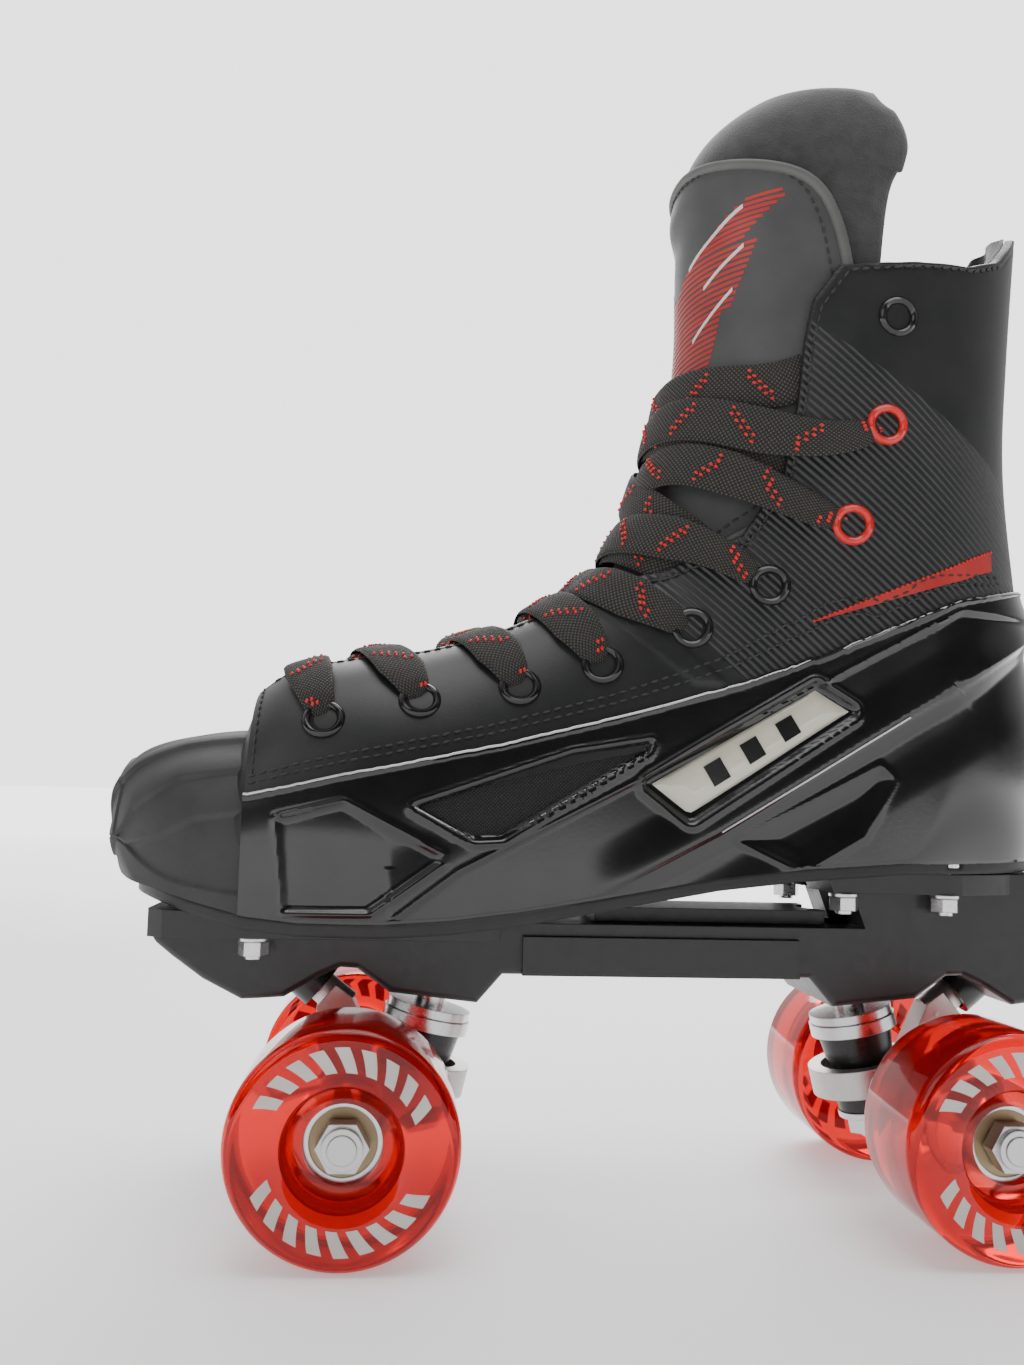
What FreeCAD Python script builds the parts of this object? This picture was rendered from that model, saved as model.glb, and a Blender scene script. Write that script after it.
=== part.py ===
"""Quad roller skate, left foot: a hockey-style boot bolted to a chassis with two trucks and four wheels.

Frame: millimetres, +Z up, the floor at Z = 0, the toe towards -X, the outer side of the foot towards -Y.
The origin is the centre of the skate's footprint on the floor.
"""

import FreeCAD, Part
import math
import os

from FreeCAD import Vector as V

# ---- driving dimensions -------------------------------------------------------------------------
WHEEL_R = 32.5          # 65 mm wheels
WHEEL_W = 38.0
WHEELBASE = 190.0
MID_X = 21.0            # middle of the wheelbase, behind the middle of the boot
TRACK = 104.0           # between the wheels' middle planes
BOOT_HALF = 153.5       # half of the boot's length
BEARING_R = 11.0        # 608 bearing: 22 x 8 x 7
BEARING_BORE = 4.0
BEARING_W = 7.0
HUB_IN = 37.5           # inner face of the hub's bearings from the middle plane
HUB_OUT = 61.5
AXLE_R = 4.0
AXLE_END = 70.5
CHASSIS_HALF = 25.0     # half width of the chassis body
FLANGE_HALF = 36.0      # half width of its mounting flanges
KINGPIN_LEAN = 13.0     # degrees
KINGPIN_R = 5.0
RING_Z = 39.8           # height of the middle of the hanger's cushion ring
RING_OFFSET = 19.5      # from the axle towards the middle of the skate
PIVOT_RISE = 25.7       # the steering axis rises this much ...
PIVOT_RUN = 29.9        # ... over this much, away from the middle of the skate
PIVOT_TIP = 54.0        # from the ring's middle to the pivot pin's tip
WALL = 3.0              # boot shell and upper
GAP = 0.3
LINING = 3.6
SOLE = 4.0              # outsole thickness

FRONT_X = MID_X - WHEELBASE / 2
REAR_X = MID_X + WHEELBASE / 2

# The sole's bottom line in side view, toe to heel.
SOLE_LINE = [(-147, 98), (-135, 95.4), (-120, 91.4), (-106, 88), (-90, 86.6), (-66, 86.6), (-46, 87.9), (-25, 90.6),
             (0, 95), (36, 101.6), (62, 104.7), (96, 107.4), (BOOT_HALF, 108.5)]
# The boot's plan outline: X, half width, middle Y.
PLAN = [(-152, 12, 3), (-149, 20, 3), (-143, 29, 3), (-134, 37, 3), (-124, 42, 3), (-106, 45.5, 2), (-88, 47.5, 1),
        (-66, 48, -0.5), (-44, 46, -2), (-18, 42.5, -3), (8, 39.5, -3), (38, 37.5, -2.5), (68, 37, -1.5),
        (98, 36, -0.5), (120, 32, 0), (136, 25, 0), (146, 16.5, 0), (151, 9, 0)]
# Boot sections: front or top point, back or bottom point, half width, middle Y, share rounded at the top, at the bottom.
SECTIONS = [
    ((-112, 157), (-112, 82), 44.3, 2.5, 0.60, 0.0),
    ((-97, 168.5), (-97, 80), 46.5, 1.5, 0.60, 0.0),
    ((-76, 173.5), (-72, 78), 48.0, 0.0, 0.62, 0.0),
    ((-54, 177), (-45, 79), 45.8, -1.5, 0.64, 0.0),
    ((-31, 184.5), (-18, 84), 42.5, -2.5, 0.64, 0.0),
    ((-12, 194), (10, 90), 40.5, -3.0, 0.60, 0.0),
    ((2, 206), (38, 95), 39.5, -2.5, 0.56, 0.0),
    ((11, 221), (68, 98), 39.5, -2.0, 0.52, 0.02),
    ((17.5, 241), (98, 98), 40.0, -1.0, 0.50, 0.08),
    ((22, 258), (126, 96), 40.5, -0.5, 0.50, 0.2),
    ((24.5, 275), (146, 100), 41.0, 0.0, 0.50, 0.32),
    ((25.5, 290), (BOOT_HALF, 125), 41.5, 0.0, 0.50, 0.42),
    ((25.5, 303), (152.5, 160), 42.0, 0.0, 0.50, 0.5),
    ((25.5, 315), (147, 200), 42.5, 0.0, 0.50, 0.5),
    ((25.5, 327), (143.5, 240), 43.0, 0.0, 0.50, 0.5),
    ((25.5, 338), (145, 280), 44.0, 0.0, 0.50, 0.5),
    ((25.5, 350), (150, 345), 45.0, 0.0, 0.50, 0.5),
]
CAP_SECTIONS = [
    ((-BOOT_HALF, 124), (-BOOT_HALF, 111), 6.0, 3.0, 0.5, 0.5),
    ((-152, 130), (-152, 106), 13.5, 3.0, 0.5, 0.5),
    ((-149.5, 135.5), (-149.5, 102), 20.5, 3.0, 0.5, 0.4),
    ((-145, 140.3), (-145, 96), 28.4, 3.0, 0.5, 0.3),
    ((-138, 143.6), (-138, 88), 35.5, 3.0, 0.5, 0.2),
    ((-128, 146), (-128, 82), 41.0, 3.0, 0.52, 0.1),
    ((-115, 148), (-115, 80), 44.0, 2.5, 0.56, 0.0),
    ((-94, 149), (-94, 78), 46.5, 1.5, 0.56, 0.0),
]
# Tongue sections: middle front point, direction into the boot in degrees below +X, depth, half width, wing share.
TONGUE_TOP = [
    ((26.5, 332), 6, 120, 43.5, 1.08, 0.80),
    ((28, 343), 6, 119, 44.5, 1.08, 0.45),
    ((31, 353), 8, 116, 45.0, 1.06, 0.0),
    ((37, 362), 10, 110, 44.5, 1.00, 0.0),
    ((46, 370), 12, 102, 43.0, 0.88, 0.0),
    ((57, 377), 14, 92, 40.0, 0.60, 0.0),
]
POWER = 2.3             # roundness of the boot's sections
CAP_BACK = [(-106, 420), (-106, 150), (-98, 96), (-96, 60)]     # rear edge of the toe cap, side view
TRIM_LINE = [(-106, 127.6), (-79.5, 133.9), (-62, 137.5), (-32.4, 144.1), (4.4, 154), (41.9, 165.5), (80, 180.2),
             (112, 194), (160, 205)]      # top edge of the side shell
FACING_LINE = [(-4, 206), (4, 199), (18.9, 201.3), (43.3, 213), (56.3, 232.5), (60.4, 257), (62, 276.5), (64.6, 289.5),
               (72.8, 300.8), (95.5, 303.1), (118, 305), (132, 311), (143, 323), (150, 334)]   # front and top edge of the quarters
THROAT_HALF = 13.0
TONGUE_REACH = [0.15, 0.18, 0.20, 0.23, 0.26, 0.30, 0.36, 0.42, 0.52, 0.60, 0.67, 0.74, 0.82, 0.92, 1.02, 1.06, 1.08]
TONGUE_MARGIN = 0.08
TONGUE_STEPS = 18
TONGUE_COLUMNS = 16
PANEL_DEPTHS = (WALL + 0.9, WALL + 2.3)
FELT_DEPTHS = (WALL + 3.4, WALL + 8.4)
NOSE_SETBACK = 9.0
NOSE_START = -88.0
PANEL_SHARE = 0.92
LINING_REACH = 0.42
EYELETS = [(-85.2, 150.5), (-56.4, 157.4), (-25.9, 162.4), (-0.5, 170), (27.2, 182.2), (51.6, 196.5),
           (77.9, 216.7), (88.5, 249.2), (92, 284.4)]
EYELET_R = 6.4
EYELET_HOLE = 4.0
LACED_ROWS = 8
LACE_W = 12.0
LACE_T = 1.4
WINDOW = [(-57.6, 125), (-39.5, 115.5), (-31, 116), (13, 143), (14.4, 146.5), (-10, 142)]   # mesh window in the shell
BADGE = [(15, 130.5), (27, 119.5), (79.5, 151), (66, 161)]      # badge on the shell
HEAD_R = 5.2            # mounting bolts' flat heads, sunk into the outsole
HEAD_SUNK = 2.0
MOUNT_BOLTS = [(-104, 31), (-104, -31), (79, 30), (79, -30), (112, 30), (112, -30)]

os.makedirs("parts", exist_ok=True)


def export(name, *shapes):
    """One node's STEP file: a single solid, or a group of separate ones."""
    solids = [solid for shape in shapes for solid in shape.Solids]
    body = solids[0] if len(solids) == 1 else Part.makeCompound(solids)
    body.exportStep(f"parts/{name}.step")
    bad = [solid for solid in solids if not solid.isValid() or solid.Volume <= 0]
    print(f"{name}: {len(solids)} solids, {sum(s.Volume for s in solids) / 1000:.1f} cm3" + (" BAD" if bad else ""))


def interpolate(table, x):
    """Piecewise linear value of a table of (x, value, ...) rows."""
    for low, high in zip(table, table[1:]):
        if x <= high[0] or high is table[-1]:
            share = (x - low[0]) / (high[0] - low[0])
            return [a + (b - a) * share for a, b in zip(low[1:], high[1:])]
    return list(table[0][1:])


def curve(points, closed=False):
    """A smooth edge through points."""
    spline = Part.BSplineCurve()
    spline.interpolate([V(*p) for p in points], PeriodicFlag=closed)
    return spline.toShape()


def side_prism(points, low=-90, high=90):
    """A side-view polygon (X, Z) swept across the skate."""
    wire = Part.makePolygon([V(x, low, z) for x, z in [*points, points[0]]])
    return Part.Face(wire).extrude(V(0, high - low, 0))


def cylinder(radius, length, at, along):
    return Part.makeCylinder(radius, length, at, along)


def ring(outer, inner, length, at, along):
    """A tube of that length from a point along a direction."""
    return cylinder(outer, length, at, along).cut(cylinder(inner, length + 2, at - along * 1, along))


def hexagon(across, length, at, along):
    """A hexagonal prism, such as a nut."""
    prism = Part.Face(Part.makePolygon([
        V(across / math.sqrt(3) * math.cos(math.radians(60 * k)), across / math.sqrt(3) * math.sin(math.radians(60 * k)), 0)
        for k in range(7)])).extrude(V(0, 0, length))
    prism.Placement = FreeCAD.Placement(at, FreeCAD.Rotation(V(0, 0, 1), along))
    return prism


def y_turned(profile, x, z):
    """Turns a closed outline of (radius, Y) points about the line through (x, z) along Y."""
    wire = Part.makePolygon([V(x + r, y, z) for r, y in [*profile, profile[0]]])
    return Part.Face(wire).revolve(V(x, 0, z), V(0, 1, 0), 360)


def rounded(shape, radius, wanted):
    """Rounds the edges that wanted(edge) picks, or leaves the shape if that can't be done."""
    edges = [edge for edge in shape.Edges if wanted(edge)]
    try:
        done = shape.makeFillet(radius, edges)
        return done if done.isValid() and done.Volume > 0 else shape
    except Part.OCCError:
        return shape


# ---- boot surfaces ------------------------------------------------------------------------------
def section_frame(section, inset):
    """Front point, unit direction to the back point, depth and half width of a section moved inwards."""
    (tx, tz), (bx, bz), half, middle, top, bottom = section
    depth = math.hypot(bx - tx, bz - tz)
    dx, dz = (bx - tx) / depth, (bz - tz) / depth
    back = inset * min(1.0, bottom / 0.3)
    return (tx + dx * inset, tz + dz * inset), (dx, dz), depth - inset - back, half - inset, middle, top, bottom


def section_points(section, inset, count=9):
    """One side of a section, from its front to its back: (x, half width there, z)."""
    (tx, tz), (dx, dz), depth, half, middle, top, bottom = section_frame(section, inset)
    points = []
    for k in range(2 * count):
        share = math.sin(math.pi / 2 * min(1.0, k / count)) if k < count else 1.0
        if k < count:
            along = top * (1 - (1 - share ** POWER) ** (1 / POWER))
            width = share
        else:
            rest = (k - count) / (count - 1)
            if bottom > 0:
                angle = math.pi / 2 * rest
                along = 1 - bottom + bottom * math.sin(angle) if top + bottom >= 0.999 else \
                    top + (1 - top) * rest
                left = (1 - along) / bottom
                width = 1.0 if left >= 1 else math.sqrt(max(0.0, 1 - (1 - left) ** 2))
                width = max(width, 3.0 / half)
            else:
                along = top + (1 - top) * rest
                width = 1.0
        points.append((tx + dx * depth * along, half * width, tz + dz * depth * along))
    return points, middle


def section_wire(section, inset):
    """The closed outline of a boot section."""
    side, middle = section_points(section, inset)
    over = [(x, middle - w, z) for x, w, z in reversed(side)] + [(x, middle + w, z) for x, w, z in side[1:]]
    spline = Part.BSplineCurve()
    last = len(over) - 1
    spline.interpolate(Points=[V(*p) for p in over], Parameters=[k / last for k in range(last + 1)])
    return Part.Wire([spline.toShape(), Part.LineSegment(V(*over[-1]), V(*over[0])).toShape()])


def body(sections, inset):
    return Part.makeLoft([section_wire(s, inset) for s in sections], True, True)


def top_point(section, inset, share):
    """A point on the rounded front of a section: share is -1 at the outer side, 0 in the middle and 1 at the inner."""
    (tx, tz), (dx, dz), depth, half, middle, top, _ = section_frame(section, inset)
    along = top * (1 - (1 - abs(share) ** POWER) ** (1 / POWER)) * depth
    return V(tx + dx * along, middle + half * share, tz + dz * along)


def between(position):
    """The boot section at a place between two of the table's sections."""
    low = max(0, min(len(SECTIONS) - 2, int(position)))
    share = position - low
    a, b = SECTIONS[low], SECTIONS[low + 1]
    mix = lambda p, q: p + (q - p) * share
    return ((mix(a[0][0], b[0][0]), mix(a[0][1], b[0][1])), (mix(a[1][0], b[1][0]), mix(a[1][1], b[1][1])),
            mix(a[2], b[2]), mix(a[3], b[3]), mix(a[4], b[4]), mix(a[5], b[5]))


def place_of(x, z):
    """Where the side-view point (x, z) lies: section position, and share of the half width."""
    low, high = 0.0, len(SECTIONS) - 1.0
    for _ in range(40):
        middle = (low + high) / 2
        (tx, tz), (bx, bz) = between(middle)[:2]
        if (bx - tx) * (z - tz) - (bz - tz) * (x - tx) > 0:
            low = middle
        else:
            high = middle
    section = between(low)
    (tx, tz), (dx, dz), depth, half, _, top, _ = section_frame(section, 0)
    along = ((x - tx) * dx + (z - tz) * dz) / depth / top
    return low, (1 - (1 - min(1.0, max(0.0, along))) ** POWER) ** (1 / POWER)


def surface_frame(x, z, side):
    """The point of the boot's surface at side-view (x, z) on one side, and the normal there."""
    position, share = place_of(x, z)
    at = top_point(between(position), 0, side * share)
    along = top_point(between(position + 0.05), 0, side * share) - at
    across = top_point(between(position), 0, side * (share - 0.02)) - at
    normal = along.cross(across).normalize()
    if normal.y * side < 0:
        normal = normal * -1
    return at, normal


def faceted(rings):
    """A closed solid with flat facets through rings of points."""
    faces = []
    count = len(rings[0])

    def facet(*corners):
        faces.append(Part.Face(Part.makePolygon([*corners, corners[0]])))

    for a, b in zip(rings, rings[1:]):
        for k in range(count):
            n = (k + 1) % count
            facet(a[k], a[n], b[n])
            facet(a[k], b[n], b[k])
    for end in (rings[0], rings[-1]):
        for k in range(1, count - 1):
            facet(end[0], end[k], end[k + 1])
    solid = Part.Solid(Part.Shell(faces))
    return solid if solid.Volume > 0 else solid.reversed()


# ---- boot ---------------------------------------------------------------------------------------
def above_sole(lift):
    """Everything above the sole's bottom line, raised by lift."""
    return side_prism([(-200, SOLE_LINE[0][1] + 4 + lift), *[(x, z + lift) for x, z in SOLE_LINE],
                       (200, SOLE_LINE[-1][1] + lift), (200, 450), (-200, 450)])


def behind_cap():
    return side_prism([*CAP_BACK, (220, 60), (220, 420)])


def above_trim(lift):
    return side_prism([(-200, TRIM_LINE[0][1] + lift), *[(x, z + lift) for x, z in TRIM_LINE],
                       (200, TRIM_LINE[-1][1] + lift), (200, 450), (-200, 450)])


def plan_outline(grow, setback=0.0):
    """The boot's plan moved outwards by grow, with its nose drawn back by setback."""
    tip = BOOT_HALF + min(0.0, grow)
    drawn = lambda x: x + setback * max(0.0, min(1.0, (NOSE_START - x) / (NOSE_START + BOOT_HALF)))
    side = [(drawn(x), w + grow, y) for x, w, y in PLAN if w + grow > 8 and abs(x) < tip - 2]
    outline = [(drawn(-tip), 3, 0), *[(x, y + w, 0) for x, w, y in side], (tip, 0, 0),
               *[(x, y - w, 0) for x, w, y in reversed(side)]]
    return Part.Face(Part.Wire(curve(outline, closed=True)))


def build_boot():
    outer = body(SECTIONS, 0)
    inner = body(SECTIONS, WALL)
    skin = outer.cut(inner)
    upright = above_sole(SOLE + 0.05)
    back = behind_cap()
    cap_outer = body(CAP_SECTIONS, 0)
    cap = cap_outer.cut(body(CAP_SECTIONS, WALL)).common(upright).cut(back)
    export("toe_cap", cap)

    shell = skin.common(upright).common(back).cut(above_trim(0))
    window = side_prism(WINDOW)
    shell = shell.cut(window)
    export("side_shell", shell)
    mesh_band = body(SECTIONS, 1.6).cut(body(SECTIONS, 2.7))
    mesh = mesh_band.common(side_prism(inset_polygon(WINDOW, 0.25)))
    export("vent_mesh", mesh)
    badge_band = body(SECTIONS, -1.2).cut(body(SECTIONS, -0.15))
    export("side_badges", badge_band.common(side_prism(BADGE)))

    throat = Part.makeBox(130, 2 * THROAT_HALF, 120, V(-99, -THROAT_HALF, 130))
    opening = side_prism([*FACING_LINE, (200, 334), (200, 450), (-4, 450)])
    bridge = outer.common(Part.makeBox(7, 60, 60, V(-106, -30, 150.5)))
    upper = skin.fuse(bridge).common(back).common(above_trim(0.2)).cut(throat).cut(opening)
    frames = [surface_frame(x, z, side) for x, z in EYELETS for side in (-1, 1)]
    for at, normal in frames:
        upper = upper.cut(cylinder(EYELET_HOLE + 0.9, 12, at - normal * 7, normal))
    export("upper", upper)
    export("eyelets", *[eyelet(at, normal) for at, normal in frames])

    lining = body(SECTIONS, WALL + GAP).cut(body(SECTIONS, WALL + GAP + LINING)).common(above_sole(SOLE + 2))
    collar = side_prism([(-60, 172), (-4, 190), (22, 198), (48, 210), (62, 231), (67, 257), (69, 290), (76, 304), (96, 307),
                         (124, 310), (138, 320), (147, 334), (200, 334), (200, 450), (-200, 450), (-200, 140), (-110, 140)])
    reaches = [max(LINING_REACH, reach + TONGUE_MARGIN) for reach in TONGUE_REACH]
    front = [(tx + (bx - tx) * top * reach, tz + (bz - tz) * top * reach)
             for ((tx, tz), (bx, bz), _, _, top, _), reach in zip(SECTIONS, reaches)]
    under_tongue = side_prism([*front, (front[-1][0], 450), (-200, 450), (-200, front[0][1])])
    lining = lining.cut(collar).cut(under_tongue).common(behind_line(-92))
    export("lining", lining)

    outsole = plan_outline(1.0, NOSE_SETBACK).extrude(V(0, 0, 60))
    outsole.translate(V(0, 0, 75))
    outsole = outsole.common(above_sole(0)).cut(above_sole(SOLE))
    footbed = plan_outline(-WALL - GAP - LINING - 4.5).extrude(V(0, 0, 60))
    footbed.translate(V(0, 0, 75))
    footbed = footbed.common(above_sole(SOLE + 3.6)).cut(above_sole(SOLE + 7.2)).common(behind_line(-135))
    export("footbed", footbed)
    return outsole


def behind_line(x):
    return Part.makeBox(400, 200, 500, V(x, -100, 0))


def inset_polygon(points, by):
    """A polygon shrunk towards its middle by about that distance."""
    cx = sum(p[0] for p in points) / len(points)
    cz = sum(p[1] for p in points) / len(points)
    return [(cx + (x - cx) * (1 - by / math.hypot(x - cx, z - cz)), cz + (z - cz) * (1 - by / math.hypot(x - cx, z - cz)))
            for x, z in points]


def eyelet(at, normal):
    flange = ring(EYELET_R, EYELET_HOLE, 1.0, at + normal * 0.5, normal)
    barrel = ring(EYELET_HOLE + 0.6, EYELET_HOLE, 3.6, at - normal * 3.0, normal)
    return flange.fuse(barrel)


def wrap_point(section, inset, reach, way):
    """A point round the front of a section: way -1 to 1 runs between the two places that far back."""
    (tx, tz), (dx, dz), depth, half, middle, top, _ = section_frame(section, inset)
    full = 1.0 if reach >= 1 else (1 - (1 - reach) ** POWER) ** (1 / POWER)
    limit = reach if reach >= 1 else 2 / math.pi * math.asin(full)
    turn = limit * abs(way)
    share = math.sin(math.pi / 2 * min(1.0, turn))
    along = 1 - (1 - share ** POWER) ** (1 / POWER) if turn < 1 else turn
    along *= top * depth
    return V(tx + dx * along, middle + half * math.copysign(share, way), tz + dz * along)


def tongue_stations():
    """Sections that the tongue follows, each with how far round it the felt and the panel reach."""
    stations = []
    for k in range(TONGUE_STEPS):
        position = 0.95 + 0.75 * k
        low = int(position)
        felt = TONGUE_REACH[low] + (TONGUE_REACH[low + 1] - TONGUE_REACH[low]) * (position - low)
        stations.append((between(position), felt, felt * PANEL_SHARE))
    for (tx, tz), turn, depth, half, felt, panel in TONGUE_TOP:
        angle = math.radians(turn)
        back = (tx + depth * math.cos(angle), tz - depth * math.sin(angle))
        stations.append((((tx - WALL, tz), back, half, 0.0, 0.5, 0.5), felt, panel))
    return stations


def tongue_band(low, high, panel):
    """The tongue's curved band between two depths, from the toe end up to its rounded top."""
    rings = []
    for section, felt_reach, panel_reach in tongue_stations():
        reach = panel_reach if panel else felt_reach
        if reach > 0:
            ways = [k / TONGUE_COLUMNS for k in range(-TONGUE_COLUMNS, TONGUE_COLUMNS + 1)]
            outer = [wrap_point(section, low, reach, way) for way in ways]
            inner = [wrap_point(section, high, reach, way) for way in reversed(ways)]
            rings.append(outer + inner)
    return faceted(rings)


def build_tongue():
    export("tongue_panel", tongue_band(*PANEL_DEPTHS, True))
    export("tongue_felt", tongue_band(*FELT_DEPTHS, False))


def lace_strand(start, end, lift):
    """A flat strand over the throat: start and end are (section position, share), lift its height over the facings."""
    rings = []
    count = 12
    for k in range(count + 1):
        way = k / count
        position = start[0] + (end[0] - start[0]) * way
        share = start[1] + (end[1] - start[1]) * way
        ahead = top_point(between(position + 0.05), 0, share) - top_point(between(position), 0, share)
        half = 0.05 * LACE_W / 2 / ahead.Length
        edge = min(1.0, min(way, 1 - way) * 6)
        height = 1.9 + lift * edge
        a, b = between(position - half), between(position + half)
        rings.append([top_point(a, -height, share), top_point(b, -height, share),
                      top_point(b, -height - LACE_T, share), top_point(a, -height - LACE_T, share)])
    return faceted(rings)


def build_lace():
    rows = [place_of(x, z) for x, z in EYELETS[:LACED_ROWS]]
    strands = [lace_strand((rows[0][0], -rows[0][1] * 0.93), (rows[0][0], rows[0][1] * 0.93), 0.4)]
    for low, high in zip(rows, rows[1:]):
        strands.append(lace_strand((low[0] + 0.12, low[1] * 0.72), (high[0] - 0.05, -high[1] * 0.93), 2.6))
        strands.append(lace_strand((low[0] + 0.12, -low[1] * 0.72), (high[0] - 0.05, high[1] * 0.93), 6.4))
    export("lace", *strands)


# ---- chassis ------------------------------------------------------------------------------------
def mirrored(points):
    """A front outline mirrored about the middle of the wheelbase."""
    return [(2 * MID_X - x, z) for x, z in reversed(points)]


def truck_frame(front):
    """Axle middle, kingpin direction, ring middle and steering direction of a truck, with its inward sign."""
    inward = 1 if front else -1
    x = FRONT_X if front else REAR_X
    lean = math.radians(KINGPIN_LEAN)
    ring_at = V(x + inward * RING_OFFSET, 0, RING_Z)
    king = V(inward * math.sin(lean), 0, math.cos(lean))
    steer = V(-inward * PIVOT_RUN, 0, PIVOT_RISE).normalize()
    return V(x, 0, WHEEL_R), king, ring_at, steer


def build_chassis(outsole):
    front = [(-135.3, 84), (-134, 81.5), (-129.5, 77.9), (-120, 71.1), (-108, 65), (-103, 65.2), (-95, 65.8),
             (-84.3, 72.2), (-78, 75), (-73, 74.7), (-62.8, 67.5), (-35.7, 64.6), (-28, 73.5)]
    rear = mirrored(front[6:])
    outline = [(-135.3, 93), *front, *rear, (146, 67), (150, 72), (150, 86), (150, 107.5), (82, 107.5), (78, 100.5),
               (84, 100.5), (88, 89.4), (-24, 89.4), (-34, 86), (-92, 86), (-112, 88.4)]
    middle = side_prism(outline, -CHASSIS_HALF, CHASSIS_HALF)
    middle = middle.cut(above_sole(-0.05))
    beam = Part.makeBox(88, 2 * 27, 12, V(-22, -27, 73.5))
    middle = middle.fuse(beam)
    spine = Part.makeBox(76, 30, 5, V(2, -15, 89))
    front_flange = side_prism([(-135.3, 93), (-135.3, 84.6), (-30, 84.6), (-30, 89)], -FLANGE_HALF, FLANGE_HALF)
    front_flange = front_flange.cut(above_sole(-0.05))
    rear_flange = side_prism([(72, 107.5), (75, 101), (150, 101), (150, 107.5)], -FLANGE_HALF + 3, FLANGE_HALF - 3)
    rear_flange = rear_flange.cut(above_sole(-0.05))
    corner = plan_outline(0.0).extrude(V(0, 0, 80))
    corner.translate(V(0, 0, 60))
    chassis = middle.fuse(spine).fuse(front_flange.common(corner)).fuse(rear_flange.common(corner))
    chassis = chassis.cut(above_sole(-0.05)).removeSplitter()
    for front_end in (True, False):
        axle, king, ring_at, steer = truck_frame(front_end)
        seat = ring_at + king * 21.5
        chassis = chassis.cut(cylinder(15.5, 25, seat - king * 25, king))
        chassis = chassis.cut(cylinder(KINGPIN_R + 0.1, 60, seat - king * 5, king))
        chassis = chassis.cut(cylinder(10.5, 60, seat + king * 12, king))
        chassis = chassis.cut(cylinder(8.1, PIVOT_TIP + 3.5, ring_at, steer))
    for x, y in MOUNT_BOLTS:
        chassis = chassis.cut(cylinder(2.7, 60, V(x, y, 70), V(0, 0, 1)))
        outsole = outsole.cut(cylinder(2.7, 60, V(x, y, 70), V(0, 0, 1)))
        seat_z = interpolate(SOLE_LINE, x)[0] + SOLE - HEAD_SUNK - 0.05
        outsole = outsole.cut(cylinder(HEAD_R + 0.2, 20, V(x, y, seat_z), V(0, 0, 1)))
    chassis = max(chassis.Solids, key=lambda s: s.Volume)
    chassis = rounded(chassis, 2.0, lambda e: long_lower_edge(e))
    export("chassis", chassis)
    export("outsole", outsole)


def long_lower_edge(edge):
    """The chassis body's outer edges along its underside."""
    box = edge.BoundBox
    flat = box.YMax - box.YMin < 0.01 and abs(abs(box.YMin) - CHASSIS_HALF) < 0.01
    return flat and box.ZMax < 84 and edge.Length > 3


def build_mounting():
    bolts, nuts = [], []
    for x, y in MOUNT_BOLTS:
        sole_top = interpolate(SOLE_LINE, x)[0] + SOLE
        flange_low = 84.6 if x < 0 else 101.0
        head = cylinder(HEAD_R, 1.3, V(x, y, sole_top - HEAD_SUNK), V(0, 0, 1))
        shank = cylinder(2.5, sole_top - HEAD_SUNK + 0.1 - (flange_low - 6.5), V(x, y, flange_low - 6.5), V(0, 0, 1))
        bolts.append(head.fuse(shank))
        washer = ring(4.6, 2.55, 1.0, V(x, y, flange_low - 1.05), V(0, 0, 1))
        nut = hexagon(8.0, 4.2, V(x, y, flange_low - 5.4), V(0, 0, 1)).cut(
            cylinder(2.55, 8, V(x, y, flange_low - 7), V(0, 0, 1)))
        nuts += [washer, nut]
    export("mounting_bolts", *bolts)
    export("mounting_nuts", *nuts)


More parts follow.
